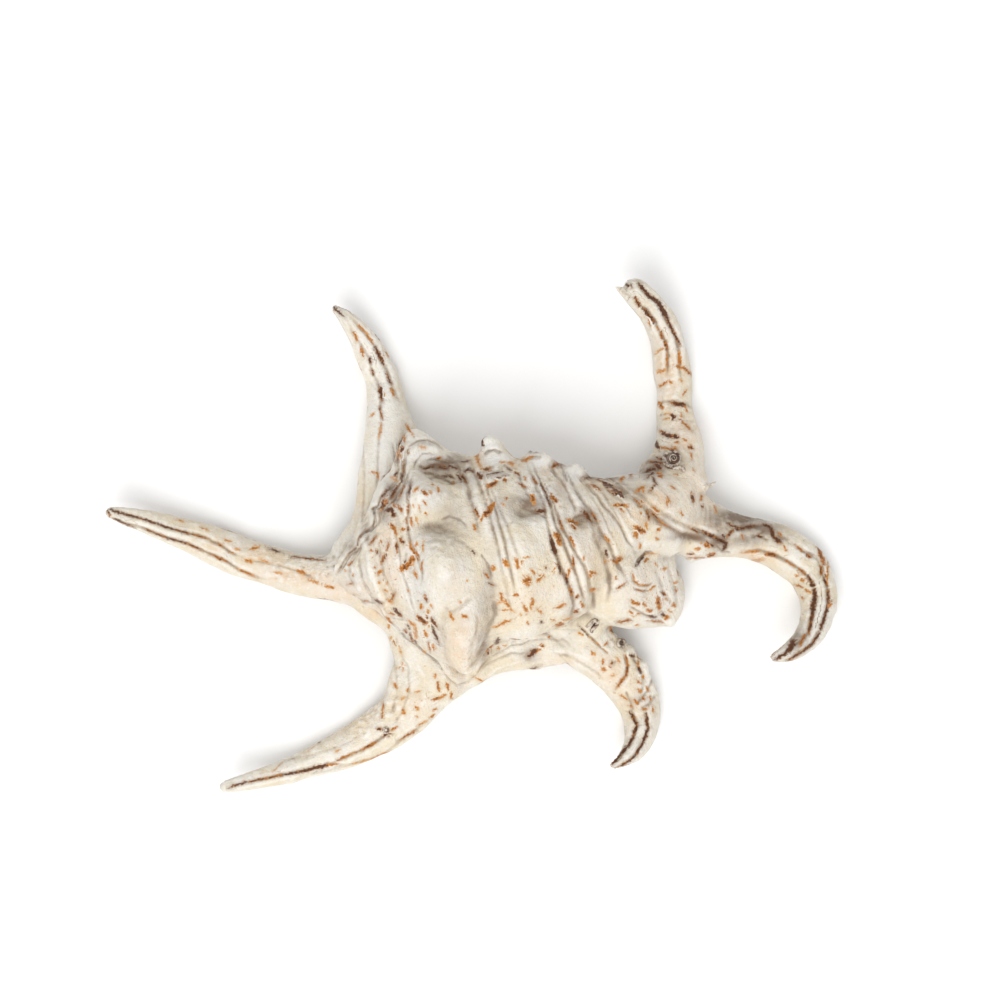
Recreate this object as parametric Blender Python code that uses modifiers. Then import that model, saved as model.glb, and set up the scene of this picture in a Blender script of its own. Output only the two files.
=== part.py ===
"""A chiragra spider conch shell, lying on its mouth side, as one closed solid.

The row frame is in metres. +Z is up, +X runs from the pointed spire to the canal end, +Y to the side
away from the flared lip. The origin is at the middle of the bounding box, on the table.
Lists of places are in millimetres, in that same frame.
"""

import math

import bmesh
import bpy
import numpy as np
from mathutils import Matrix

MM = 0.001

# Driving dimensions, in millimetres: the coiling axis starts at the tip of the spire, turned from +X
# towards +Y and rising a little
APEX = (-34.2, -10.4, 17.5)
SPIRE_AXIS_TURN_DEG = 11.5
SPIRE_AXIS_RISE_DEG = 6.0
# Each whorl of the spire is this much longer than the one before, and the last seam meets the
# body whorl's top this far from the tip
WHORL_RATIO = 1.7
LAST_SUTURE = 21.5
SUTURE_STEP = 2.6
KNOBS_PER_TURN = 13
# Under 1, the body whorl's side goes straight down to the lip instead of curving in under itself
WALL_FULLNESS = 0.35
# Puts the box's middle on the origin, with the fingers' lowest spots just under the table
CENTRE_SHIFT = (-0.55, 0.13, -1.05)

# How fine the solid is
VOXEL = 1.0 * MM
SMOOTHING_ROUNDS = 4
SHARE_OF_TRIANGLES_KEPT = 0.125

SHELL_COLOUR = (0.80, 0.74, 0.64, 1.0)
SHELL_ROUGHNESS = 0.45

# The spire and body whorl: distance along the coiling axis from the apex, then how far the surface
# stands from the axis towards the lip, away from the lip, upwards and downwards
WHORL_STATIONS = (
    (0.0, 0.0, 0.0, 0.0, 0.0),
    (2.0, 2.6, 2.4, 2.6, 2.2),
    (4.0, 5.0, 4.6, 5.0, 4.2),
    (8.0, 10.0, 9.2, 9.6, 7.6),
    (12.0, 15.0, 14.0, 14.0, 10.6),
    (16.0, 20.0, 18.6, 18.4, 13.2),
    (20.0, 24.0, 23.4, 22.4, 15.4),
    (23.5, 26.2, 26.2, 23.8, 16.8),
    (27.0, 26.6, 27.2, 24.2, 17.8),
    (31.0, 26.0, 25.6, 24.2, 18.6),
    (36.0, 24.8, 22.6, 23.6, 19.4),
    (42.0, 24.4, 20.6, 22.8, 20.2),
    (48.0, 24.6, 19.4, 22.4, 20.8),
    (55.0, 24.0, 16.6, 20.2, 21.2),
    (60.0, 21.6, 13.6, 18.0, 21.4),
    (66.0, 16.4, 10.4, 14.4, 21.2),
    (72.0, 11.6, 8.5, 10.6, 19.4),
    (78.0, 7.4, 6.5, 6.6, 15.0),
    (84.0, 0.0, 0.0, 0.0, 0.0),
)

# Humps and hollows on the body whorl: place along the axis, angle about it (0 is the lip side,
# 90 the top, 180 the side away from the lip), reach along the axis, reach round it in degrees, height
HUMPS = (
    (26.8, 168.0, 4.8, 14.0, 4.4),
    (27.5, 126.0, 5.0, 12.0, 3.2),
    (31.0, 80.0, 5.4, 14.0, 5.4),
    (31.0, 42.0, 5.2, 18.0, 6.4),
    (29.0, 12.0, 4.4, 16.0, 5.4),
    (32.6, 106.0, 4.0, 8.0, -2.6),
    (31.6, 146.0, 3.4, 10.0, -2.2),
    (44.3, 172.0, 2.8, 10.0, 5.2),
    (49.0, 96.0, 5.6, 15.0, 2.8),
    (47.5, 62.0, 6.0, 20.0, 3.6),
    (44.5, 24.0, 5.2, 18.0, 2.8),
    (49.0, 119.0, 4.2, 9.0, -1.8),
    (55.6, 172.0, 2.4, 9.0, 3.0),
    (63.0, 172.0, 2.2, 10.0, 2.2),
    (64.0, 90.0, 3.0, 14.0, 2.8),
    (62.5, 58.0, 3.4, 20.0, 3.4),
    (60.0, 28.0, 3.4, 16.0, 2.2),
    (63.0, 112.0, 3.0, 9.0, -1.4),
)

# Cords round the body whorl: place along the axis, width and height
CORDS = (
    (36.4, 1.2, 1.3),
    (39.2, 1.2, 1.4),
    (53.0, 1.1, 1.3),
    (55.9, 1.1, 1.4),
    (58.5, 1.0, 0.9),
    (66.8, 1.0, 1.1),
    (69.6, 1.0, 1.1),
    (72.6, 1.0, 0.9),
)

# Limbs: x, y, z of the middle line, half the width, half the height, and the roll in degrees
LEFT_FINGER = (
    (-91.6, 5.8, 12.5, 1.4, 1.3, 0),
    (-84.8, 4.2, 10.2, 2.6, 2.5, 0),
    (-75.5, 1.6, 7.2, 3.6, 3.4, 0),
    (-68.7, -0.8, 5.5, 4.3, 4.1, 0),
    (-59.8, -4.4, 4.2, 5.1, 4.8, 0),
    (-50.9, -7.4, 4.8, 5.0, 4.8, 0),
    (-44.3, -9.6, 6.2, 5.1, 5.0, 0),
    (-37.5, -10.6, 8.2, 5.4, 5.2, 0),
    (-31.5, -11.4, 10.4, 6.0, 5.4, 0),
    (-22.0, -12.0, 12.0, 8.0, 7.0, 0),
)
UPPER_LEFT_FINGER = (
    (-35.0, 57.8, 12.5, 0.9, 0.9, 0),
    (-31.3, 54.8, 10.2, 2.1, 2.0, 0),
    (-27.8, 50.9, 7.4, 3.1, 3.0, 0),
    (-25.0, 45.8, 5.2, 3.9, 3.7, 0),
    (-22.6, 40.7, 3.9, 4.3, 4.2, 0),
    (-21.5, 35.6, 4.8, 4.8, 4.4, 0),
    (-20.8, 30.5, 6.4, 5.6, 4.6, 0),
    (-20.0, 25.4, 8.4, 6.6, 4.6, 0),
    (-20.3, 19.9, 9.8, 6.8, 4.6, 0),
    (-22.3, 13.6, 10.6, 6.2, 4.0, 0),
    (-23.5, 7.4, 10.8, 5.4, 3.8, 0),
    (-25.6, 1.1, 10.8, 5.0, 3.8, 0),
    (-29.6, -5.1, 10.4, 5.4, 4.0, 0),
    (-32.4, -10.0, 9.6, 5.0, 4.2, 0),
)
LOWER_LEFT_FINGER = (
    (-62.4, -63.2, 12.8, 1.4, 1.3, 0),
    (-54.0, -61.4, 9.8, 2.4, 2.3, 0),
    (-46.4, -59.2, 7.2, 3.1, 3.0, 0),
    (-38.8, -56.6, 5.2, 3.9, 3.7, 0),
    (-31.0, -53.5, 4.2, 5.0, 4.7, 0),
    (-23.2, -49.3, 4.8, 5.9, 5.0, 0),
    (-16.2, -44.0, 6.6, 6.8, 5.2, 0),
    (-11.6, -36.8, 8.6, 8.6, 5.2, 0),
    (-5.0, -28.5, 11.5, 10.0, 6.0, 0),
)
LOWER_RIGHT_FINGER = (
    (34.6, -58.2, 13.4, 1.0, 1.0, 0),
    (38.4, -56.0, 11.6, 2.1, 2.0, 0),
    (41.0, -53.6, 9.2, 3.0, 2.9, 0),
    (42.6, -50.0, 6.8, 3.9, 3.7, 0),
    (43.2, -46.0, 5.0, 4.8, 4.5, 0),
    (42.8, -42.8, 4.4, 5.4, 4.9, 0),
    (41.2, -39.4, 4.6, 5.7, 5.0, 0),
    (38.4, -35.4, 5.8, 6.0, 5.2, 0),
    (34.5, -31.6, 8.0, 6.2, 5.2, 0),
    (30.0, -28.0, 10.4, 7.0, 5.2, 0),
    (24.0, -25.0, 13.0, 8.0, 6.0, 0),
)
RIGHT_FINGER = (
    (74.0, -31.5, 18.4, 1.0, 1.0, 0),
    (78.5, -30.0, 16.5, 2.3, 2.1, 0),
    (82.4, -27.4, 14.2, 2.9, 2.7, 0),
    (85.0, -24.5, 12.0, 3.5, 3.3, 0),
    (86.9, -20.4, 9.4, 4.2, 4.0, 0),
    (87.5, -16.0, 7.2, 4.8, 4.5, 0),
    (86.8, -11.6, 5.6, 5.3, 4.8, 0),
    (84.8, -7.7, 4.7, 5.7, 5.0, 0),
    (81.2, -4.9, 4.5, 5.9, 5.0, 0),
    (76.8, -2.2, 5.2, 5.8, 5.1, 0),
    (71.9, -0.9, 6.4, 5.4, 5.1, 0),
    (67.0, -0.1, 8.0, 5.4, 5.3, 0),
    (62.3, 0.7, 9.8, 6.4, 5.6, 0),
    (57.0, 1.6, 11.8, 8.2, 6.2, 0),
    (50.0, 3.0, 13.0, 9.0, 7.0, 0),
)
UPPER_RIGHT_FINGER = (
    (39.0, 62.4, 18.0, 2.2, 2.2, 0),
    (40.4, 61.4, 17.0, 3.1, 2.9, 0),
    (43.5, 58.8, 14.6, 3.6, 3.3, 0),
    (46.4, 55.8, 12.0, 3.8, 3.6, 0),
    (48.9, 51.9, 9.4, 4.2, 4.0, 0),
    (50.6, 46.5, 6.8, 4.6, 4.4, 0),
    (51.3, 41.9, 5.0, 4.8, 4.6, 0),
    (51.9, 37.4, 4.2, 4.6, 4.5, 0),
    (51.8, 32.4, 4.7, 4.6, 4.5, 0),
    (52.2, 27.5, 6.2, 5.2, 5.0, 0),
    (52.6, 22.5, 8.2, 6.2, 5.6, 0),
    (52.0, 17.6, 10.0, 7.0, 6.4, 0),
    (50.0, 12.6, 12.0, 9.0, 8.0, 0),
    (45.0, 7.0, 14.0, 9.0, 9.0, 0),
)
BACK_WEB = (
    (-33.0, -12.0, 10.0, 4.0, 3.6, 0),
    (-25.0, -14.5, 10.5, 6.0, 4.2, 0),
    (-15.5, -21.0, 11.0, 6.6, 5.0, 0),
    (-10.5, -30.0, 10.0, 8.0, 5.0, 0),
    (-4.0, -34.0, 10.0, 7.0, 4.0, 0),
)
LIP_WEB = (
    (-14.0, -39.0, 8.5, 6.0, 3.4, 0),
    (-7.0, -36.0, 8.6, 6.2, 3.4, 12),
    (0.0, -31.4, 9.0, 6.2, 3.4, 20),
    (7.0, -28.6, 9.6, 6.4, 3.4, 24),
    (15.0, -27.0, 10.2, 6.8, 3.4, 24),
    (22.0, -26.0, 10.8, 7.0, 3.6, 20),
    (29.0, -27.5, 10.4, 7.0, 4.0, 8),
)
FRONT_LOBE = (
    (26.0, -10.0, 20.0, 10.0, 13.0, 0),
    (33.0, -11.4, 18.0, 11.0, 11.4, 0),
    (40.0, -12.0, 14.2, 11.8, 8.6, 0),
    (46.5, -12.6, 10.4, 11.2, 5.6, 0),
    (51.4, -13.0, 7.6, 8.6, 3.2, 0),
    (54.2, -12.4, 6.6, 5.4, 2.2, 0),
)
CANAL_BASE = (
    (26.0, 1.0, 20.0, 12.0, 14.0, 0),
    (35.0, 3.0, 19.0, 10.4, 13.4, 0),
    (44.0, 4.6, 17.0, 10.4, 11.6, 0),
    (51.0, 5.0, 14.4, 10.6, 9.0, 0),
    (58.0, 4.0, 12.8, 8.8, 7.4, 0),
)
MOUTH_FLOOR = (
    (-22.0, -6.0, 7.5, 10.0, 4.5, 0),
    (-8.0, -8.0, 7.2, 18.0, 4.6, 0),
    (10.0, -6.0, 7.0, 22.0, 4.8, 0),
    (28.0, -2.0, 7.4, 18.0, 5.0, 0),
    (42.0, 0.0, 8.0, 13.0, 5.5, 0),
    (52.0, 2.0, 9.0, 9.0, 5.5, 0),
)
FINGERS = {
    "left_finger": LEFT_FINGER,
    "upper_left_finger": UPPER_LEFT_FINGER,
    "lower_left_finger": LOWER_LEFT_FINGER,
    "lower_right_finger": LOWER_RIGHT_FINGER,
    "right_finger": RIGHT_FINGER,
    "upper_right_finger": UPPER_RIGHT_FINGER,
}
WEBS = {
    "back_web": BACK_WEB,
    "lip_web": LIP_WEB,
    "front_lobe": FRONT_LOBE,
    "canal_base": CANAL_BASE,
    "mouth_floor": MOUTH_FLOOR,
}

# The mouth: a long curved slot under the lip, from the spire end to the canal
MOUTH_SLOT = (
    (-26.0, -15.5, 1.0, 1.6, 6.0, 0),
    (-14.0, -19.5, 1.0, 3.0, 9.0, 0),
    (0.0, -21.5, 1.0, 4.2, 12.0, 0),
    (14.0, -20.5, 1.0, 4.6, 13.0, 0),
    (27.0, -14.5, 1.0, 4.4, 12.0, 0),
    (36.0, -4.5, 1.0, 3.6, 10.0, 0),
    (43.0, 6.0, 1.0, 2.6, 8.0, 0),
    (49.0, 15.0, 1.0, 1.6, 5.0, 0),
)

# The open groove along the underside of each finger, as a share of its half height, and in degrees
GROOVE_DEPTH = 0.42
GROOVE_REACH_DEG = 20.0


def clear_scene():
    for old in list(bpy.data.objects):
        bpy.data.objects.remove(old)


def smooth_through(stations, count):
    """Points on a smooth curve through the stations, evenly spaced by their chord lengths."""
    table = np.array(stations, float)
    steps = np.linalg.norm(np.diff(table[:, :3], axis=0), axis=1)
    at = np.concatenate([[0.0], np.cumsum(steps)])
    slopes = np.gradient(table, at, axis=0)
    where = at[-1] * count
    k = np.clip(np.searchsorted(at, where, side="right") - 1, 0, len(at) - 2)
    span = (at[k + 1] - at[k])[:, None]
    t = ((where - at[k])[:, None]) / span
    near = (1 + 2 * t) * (1 - t) ** 2 * table[k] + t * (1 - t) ** 2 * span * slopes[k]
    far = t * t * (3 - 2 * t) * table[k + 1] + t * t * (t - 1) * span * slopes[k + 1]
    return near + far, where, at[-1]


def limb_surface(stations, groove, along, around):
    """Where a limb's surface is, for a share of its length and an angle round it."""
    places, where, length = smooth_through(stations, along)
    ahead, _, _ = smooth_through(stations, np.clip(along + 0.004, 0, 1))
    behind, _, _ = smooth_through(stations, np.clip(along - 0.004, 0, 1))
    forward = (ahead - behind)[:, :3]
    forward /= np.linalg.norm(forward, axis=1)[:, None]
    side = np.cross(forward, (0.0, 0.0, 1.0))
    side /= np.linalg.norm(side, axis=1)[:, None]
    up = np.cross(side, forward)
    roll = np.radians(places[:, 5])[:, None]
    side, up = side * np.cos(roll) - up * np.sin(roll), up * np.cos(roll) + side * np.sin(roll)
    width, height = np.maximum(places[:, 3], 0.2), np.maximum(places[:, 4], 0.2)
    cap = np.where(where < length / 2, width[np.argmin(along)], width[np.argmax(along)])
    to_end = np.clip(np.minimum(where, length - where) / cap, 0, 1)
    rounded = np.sqrt(1 - (1 - to_end) ** 2)
    from_below = (np.degrees(around) + 90 + 180) % 360 - 180
    rounded = rounded * (1 - groove * np.exp(-(from_below / GROOVE_REACH_DEG) ** 2))
    across = (width * rounded * np.cos(around))[:, None] * side
    upward = (height * rounded * np.sin(around))[:, None] * up
    return places[:, :3] + across + upward


def whorl_lift(a, degrees):
    """How far humps, cords and the steps between whorls lift the surface, along the axis and round it."""
    lift = np.zeros_like(a)
    for place, angle, reach, reach_deg, height in HUMPS:
        turn = (degrees - angle + 180) % 360 - 180
        lift += height * np.exp(-((a - place) / reach) ** 2 - (turn / reach_deg) ** 2)
    on_top = np.clip((200 - degrees) / 25, 0, 1) * np.clip((degrees + 15) % 360 / 20, 0, 1)
    for place, width, height in CORDS:
        lift += on_top * height * np.exp(-((a - place) / width) ** 2)
    whorl = np.log(np.maximum(a, 0.4) / LAST_SUTURE) / math.log(WHORL_RATIO) + (degrees - 90) / 360
    knobs = 1 + 0.35 * np.cos(np.radians(degrees * KNOBS_PER_TURN))
    step = ((whorl % 1.0) ** 2 - 0.35) * knobs * SUTURE_STEP * np.clip(a / 12, 0, 1)
    return lift + step * np.clip((LAST_SUTURE + 4 - a) / 5, 0, 1)


def whorl_surface(along, around):
    """Where the spire and body whorl's surface is, for a share of its length and an angle round it."""
    table = np.array(WHORL_STATIONS)
    a = along * table[-1, 0]
    lip, far, top, bottom = (np.interp(a, table[:, 0], table[:, k]) for k in range(1, 5))
    c, s = np.cos(around), np.sin(around)
    lift = whorl_lift(a, np.degrees(around) % 360)
    wall = np.where(s < 0, np.abs(c) ** WALL_FULLNESS, c)
    sideways = np.where(c > 0, lip * wall, far * c) + lift * c
    upwards = np.where(s > 0, top, bottom) * s + lift * s
    turn, rise = math.radians(SPIRE_AXIS_TURN_DEG), math.radians(SPIRE_AXIS_RISE_DEG)
    axis = np.array([math.cos(turn) * math.cos(rise), math.sin(turn) * math.cos(rise), math.sin(rise)])
    to_lip = np.array([math.sin(turn), -math.cos(turn), 0.0])
    up = np.cross(to_lip, axis)
    return np.array(APEX) + a[:, None] * axis + sideways[:, None] * to_lip + upwards[:, None] * up


def wrapped_sphere(name, surface, segments, rings):
    """A sphere whose every point is moved to where the surface is: poles at the two ends."""
    work = bmesh.new()
    bmesh.ops.create_uvsphere(work, u_segments=segments, v_segments=rings, radius=1.0)
    mesh = bpy.data.meshes.new(name)
    work.to_mesh(mesh)
    work.free()
    points = np.empty(len(mesh.vertices) * 3)
    mesh.vertices.foreach_get("co", points)
    points = points.reshape(-1, 3)
    along = np.arccos(np.clip(-points[:, 2], -1, 1)) / math.pi
    around = np.arctan2(points[:, 1], points[:, 0])
    moved = (surface(along, around) + np.array(CENTRE_SHIFT)) * MM
    mesh.vertices.foreach_set("co", moved.ravel())
    work = bmesh.new()
    work.from_mesh(mesh)
    bmesh.ops.recalc_face_normals(work, faces=work.faces)
    work.to_mesh(mesh)
    work.free()
    return bpy.data.objects.new(name, mesh)


def limb(name, stations, groove=0.0, segments=36, rings=72):
    """A tube with round ends through the stations, with a groove under it where that is above zero."""
    return wrapped_sphere(
        name, lambda along, around: limb_surface(stations, groove, along, around), segments, rings
    )


def joined(name, pieces):
    """One mesh object that holds the meshes of all the pieces."""
    work = bmesh.new()
    for piece in pieces:
        work.from_mesh(piece.data)
    mesh = bpy.data.meshes.new(name)
    work.to_mesh(mesh)
    work.free()
    for piece in pieces:
        bpy.data.objects.remove(piece)
    return bpy.data.objects.new(name, mesh)


def table_block():
    """The block under the table plane, which wears the lowest spots of the fingers flat."""
    mesh = bpy.data.meshes.new("table_block")
    work = bmesh.new()
    size = Matrix.Diagonal((0.3, 0.3, 0.02, 1.0))
    down = Matrix.Translation((0, 0, -0.01))
    bmesh.ops.create_cube(work, size=1.0, matrix=down @ size)
    work.to_mesh(mesh)
    work.free()
    return bpy.data.objects.new("table_block", mesh)


def shell_material():
    material = bpy.data.materials.new("shell")
    material.use_nodes = True
    finish = material.node_tree.nodes["Principled BSDF"]
    finish.inputs["Base Color"].default_value = SHELL_COLOUR
    finish.inputs["Roughness"].default_value = SHELL_ROUGHNESS
    finish.inputs["Metallic"].default_value = 0.0
    return material


def helper(collection, thing):
    collection.objects.link(thing)
    thing.hide_render = True
    thing.display_type = "WIRE"
    return thing


def build():
    clear_scene()
    shell_parts = bpy.data.collections.new("spider_conch_shell")
    cutters = bpy.data.collections.new("cutters")
    for collection in (shell_parts, cutters):
        bpy.context.scene.collection.children.link(collection)
    whorls = wrapped_sphere("whorls", whorl_surface, 180, 200)
    fingers = [limb(name, stations, GROOVE_DEPTH) for name, stations in FINGERS.items()]
    webs = [limb(name, stations) for name, stations in WEBS.items()]
    shell = joined("shell", [whorls] + fingers + webs)
    shell_parts.objects.link(shell)
    shell.data.materials.append(shell_material())
    mouth = helper(cutters, limb("mouth_slot", MOUTH_SLOT))
    block = helper(cutters, table_block())

    union = shell.modifiers.new("union", "REMESH")
    union.mode = "VOXEL"
    union.voxel_size = VOXEL
    slot = shell.modifiers.new("slot", "BOOLEAN")
    slot.object = mouth
    slot.operation = "DIFFERENCE"
    soften = shell.modifiers.new("soften", "REMESH")
    soften.mode = "VOXEL"
    soften.voxel_size = VOXEL
    smooth = shell.modifiers.new("smooth", "SMOOTH")
    smooth.factor = 0.5
    smooth.iterations = SMOOTHING_ROUNDS
    fewer = shell.modifiers.new("fewer", "DECIMATE")
    fewer.ratio = SHARE_OF_TRIANGLES_KEPT
    flat = shell.modifiers.new("flat", "BOOLEAN")
    flat.object = block
    flat.operation = "DIFFERENCE"


build()
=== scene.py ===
# %% [markdown]
# A chiragra spider conch is the shell of a sea snail. It is one grown piece: a short spire, a wide last
# turn with humps and cords, a thick lip, and six hollow fingers that the lip grew out into.
# The solid of the frame already has its size and its main forms. This lesson makes the same forms again
# at a finer grain, then adds what a hand would feel, the colours, and the light.
# %% Load the frame
import math
import bpy
import numpy as np
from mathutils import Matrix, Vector


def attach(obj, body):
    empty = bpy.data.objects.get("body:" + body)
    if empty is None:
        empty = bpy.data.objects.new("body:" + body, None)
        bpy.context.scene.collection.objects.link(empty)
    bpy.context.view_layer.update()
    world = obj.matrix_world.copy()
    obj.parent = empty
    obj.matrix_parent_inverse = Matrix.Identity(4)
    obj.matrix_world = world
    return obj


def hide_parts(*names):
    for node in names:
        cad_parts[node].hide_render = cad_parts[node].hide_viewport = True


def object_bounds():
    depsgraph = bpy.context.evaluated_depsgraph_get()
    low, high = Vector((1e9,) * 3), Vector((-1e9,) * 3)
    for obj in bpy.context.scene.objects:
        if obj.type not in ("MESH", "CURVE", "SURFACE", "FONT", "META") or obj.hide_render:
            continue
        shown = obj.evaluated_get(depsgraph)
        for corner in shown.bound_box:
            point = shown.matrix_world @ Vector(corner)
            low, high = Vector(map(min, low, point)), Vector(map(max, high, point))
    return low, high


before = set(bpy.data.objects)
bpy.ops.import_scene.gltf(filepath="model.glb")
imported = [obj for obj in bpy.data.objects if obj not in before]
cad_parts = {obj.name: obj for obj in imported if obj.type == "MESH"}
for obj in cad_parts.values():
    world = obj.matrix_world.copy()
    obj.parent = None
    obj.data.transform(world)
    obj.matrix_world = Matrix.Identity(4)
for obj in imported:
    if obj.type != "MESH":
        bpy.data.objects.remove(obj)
cad_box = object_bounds()
MM = 0.001
print("the solid is", [round((high - low) / MM, 1) for low, high in zip(*cad_box)], "mm")

# %% [markdown]
# The photograph looks down on the back of the shell, a little from the lip's side. The camera stands
# there, 0.7 m away, and is aimed beside the shell so that the shell sits where it does in the picture.
# One pixel is then a quarter of a millimetre at the height of the fingers.
# %% Camera
PIXEL = 0.25 * MM
PICTURE_SIDE = 1000
PICTURE_MIDDLE = PICTURE_SIDE / 2
SENSOR = 36
CAMERA_RISE = math.radians(85)
CAMERA_AWAY = 700 * MM
AIM_HEIGHT = 12 * MM
SHELL_ACROSS, SHELL_DOWN = 472.0, 534.5
AIM = Vector(((PICTURE_MIDDLE - SHELL_ACROSS) * PIXEL, (SHELL_DOWN - PICTURE_MIDDLE) * PIXEL, AIM_HEIGHT))

camera = bpy.data.objects.new("camera", bpy.data.cameras.new("camera"))
bpy.context.scene.collection.objects.link(camera)
to_camera = Vector((0, -math.cos(CAMERA_RISE), math.sin(CAMERA_RISE)))
camera.location = AIM + to_camera * CAMERA_AWAY
camera.rotation_euler = (math.pi / 2 - CAMERA_RISE, 0, 0)
camera.data.sensor_width = SENSOR
camera.data.lens = SENSOR * CAMERA_AWAY / (PICTURE_SIDE * PIXEL)
bpy.context.scene.camera = camera
print("camera", [round(c, 3) for c in camera.location], "lens", round(camera.data.lens, 1))

# %% [markdown]
# Everything below is worked out in millimetres from a few curves, in the same frame as the solid.
# Each limb of the shell is a list of stations: a place on its middle line, half its width and half its
# height, and for the lip's web also how far it is rolled, in degrees. A smooth curve runs through them.
# %% A smooth curve through stations
CENTRE_SHIFT = np.array((-0.55, 0.13, -1.05))
A_LITTLE = 0.004


def smooth_through(stations, share):
    """The stations' curve at a share of its length, with the distance along it and its whole length."""
    table = np.array(stations, float)
    at = np.concatenate([[0.0], np.cumsum(np.linalg.norm(np.diff(table[:, :3], axis=0), axis=1))])
    slopes = np.gradient(table, at, axis=0)
    where = at[-1] * share
    k = np.clip(np.searchsorted(at, where, side="right") - 1, 0, len(at) - 2)
    span = (at[k + 1] - at[k])[:, None]
    t = (where - at[k])[:, None] / span
    near = (1 + 2 * t) * (1 - t) ** 2 * table[k] + t * (1 - t) ** 2 * span * slopes[k]
    far = t * t * (3 - 2 * t) * table[k + 1] + t * t * (t - 1) * span * slopes[k + 1]
    return near + far, where, at[-1]


def limb_frame(stations, share):
    """Places on a limb's middle line, the way across it and the way up, and the distance from its end."""
    places, where, length = smooth_through(stations, share)
    ahead = smooth_through(stations, np.clip(share + A_LITTLE, 0, 1))[0]
    behind = smooth_through(stations, np.clip(share - A_LITTLE, 0, 1))[0]
    forward = (ahead - behind)[:, :3]
    forward /= np.linalg.norm(forward, axis=1)[:, None]
    across = np.cross(forward, (0.0, 0.0, 1.0))
    across /= np.linalg.norm(across, axis=1)[:, None]
    up = np.cross(across, forward)
    roll = np.radians(places[:, 5:].sum(axis=1))[:, None]
    turned = across * np.cos(roll) - up * np.sin(roll)
    return places, turned, up * np.cos(roll) + across * np.sin(roll), where, length


print("the middle line's helper is ready")

# %% [markdown]
# The fingers are what this shell is known for. Each grew as a gutter of the lip that closed up behind
# its tip, so it is thick at the root, bends as it leaves the lip and turns up at its end.
# %% The six fingers' stations
LEFT_FINGER = (
    (-91.6, 5.8, 12.5, 1.4, 1.3), (-84.8, 4.2, 10.2, 2.6, 2.5), (-75.5, 1.6, 7.2, 3.6, 3.4),
    (-68.7, -0.8, 5.5, 4.3, 4.1), (-59.8, -4.4, 4.2, 5.1, 4.8), (-50.9, -7.4, 4.8, 5, 4.8),
    (-44.3, -9.6, 6.2, 5.1, 5), (-37.5, -10.6, 8.2, 5.4, 5.2), (-31.5, -11.4, 10.4, 6, 5.4),
    (-22, -12, 12, 8, 7),
)
UPPER_LEFT_FINGER = (
    (-35, 57.8, 12.5, 0.9, 0.9), (-31.3, 54.8, 10.2, 2.1, 2), (-27.8, 50.9, 7.4, 3.1, 3),
    (-25, 45.8, 5.2, 3.9, 3.7), (-22.6, 40.7, 3.9, 4.3, 4.2), (-21.5, 35.6, 4.8, 4.8, 4.4),
    (-20.8, 30.5, 6.4, 5.6, 4.6), (-20, 25.4, 8.4, 6.6, 4.6), (-20.3, 19.9, 9.8, 6.8, 4.6),
    (-22.3, 13.6, 10.6, 6.2, 4), (-23.5, 7.4, 10.8, 5.4, 3.8), (-25.6, 1.1, 10.8, 5, 3.8),
    (-29.6, -5.1, 10.4, 5.4, 4), (-32.4, -10, 9.6, 5, 4.2),
)
LOWER_LEFT_FINGER = (
    (-62.4, -63.2, 12.8, 1.4, 1.3), (-54, -61.4, 9.8, 2.4, 2.3), (-46.4, -59.2, 7.2, 3.1, 3),
    (-38.8, -56.6, 5.2, 3.9, 3.7), (-31, -53.5, 4.2, 5, 4.7), (-23.2, -49.3, 4.8, 5.9, 5),
    (-16.2, -44, 6.6, 6.8, 5.2), (-11.6, -36.8, 8.6, 8.6, 5.2), (-5, -28.5, 11.5, 10, 6),
)
LOWER_RIGHT_FINGER = (
    (34.6, -58.2, 13.4, 1, 1), (38.4, -56, 11.6, 2.1, 2), (41, -53.6, 9.2, 3, 2.9),
    (42.6, -50, 6.8, 3.9, 3.7), (43.2, -46, 5, 4.8, 4.5), (42.8, -42.8, 4.4, 5.4, 4.9),
    (41.2, -39.4, 4.6, 5.7, 5), (38.4, -35.4, 5.8, 6, 5.2), (34.5, -31.6, 8, 6.2, 5.2),
    (30, -28, 10.4, 7, 5.2), (24, -25, 13, 8, 6),
)
RIGHT_FINGER = (
    (74, -31.5, 18.4, 1, 1), (78.5, -30, 16.5, 2.3, 2.1), (82.4, -27.4, 14.2, 2.9, 2.7),
    (85, -24.5, 12, 3.5, 3.3), (86.9, -20.4, 9.4, 4.2, 4), (87.5, -16, 7.2, 4.8, 4.5),
    (86.8, -11.6, 5.6, 5.3, 4.8), (84.8, -7.7, 4.7, 5.7, 5), (81.2, -4.9, 4.5, 5.9, 5),
    (76.8, -2.2, 5.2, 5.8, 5.1), (71.9, -0.9, 6.4, 5.4, 5.1), (67, -0.1, 8, 5.4, 5.3),
    (62.3, 0.7, 9.8, 6.4, 5.6), (57, 1.6, 11.8, 8.2, 6.2), (50, 3, 13, 9, 7),
)
UPPER_RIGHT_FINGER = (
    (39, 62.4, 18, 2.2, 2.2), (40.4, 61.4, 17, 3.1, 2.9), (43.5, 58.8, 14.6, 3.6, 3.3),
    (46.4, 55.8, 12, 3.8, 3.6), (48.9, 51.9, 9.4, 4.2, 4), (50.6, 46.5, 6.8, 4.6, 4.4),
    (51.3, 41.9, 5, 4.8, 4.6), (51.9, 37.4, 4.2, 4.6, 4.5), (51.8, 32.4, 4.7, 4.6, 4.5),
    (52.2, 27.5, 6.2, 5.2, 5), (52.6, 22.5, 8.2, 6.2, 5.6), (52, 17.6, 10, 7, 6.4), (50, 12.6, 12, 9, 8),
    (45, 7, 14, 9, 9),
)
FINGERS = (
    LEFT_FINGER, UPPER_LEFT_FINGER, LOWER_LEFT_FINGER,
    LOWER_RIGHT_FINGER, RIGHT_FINGER, UPPER_RIGHT_FINGER,
)
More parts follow.
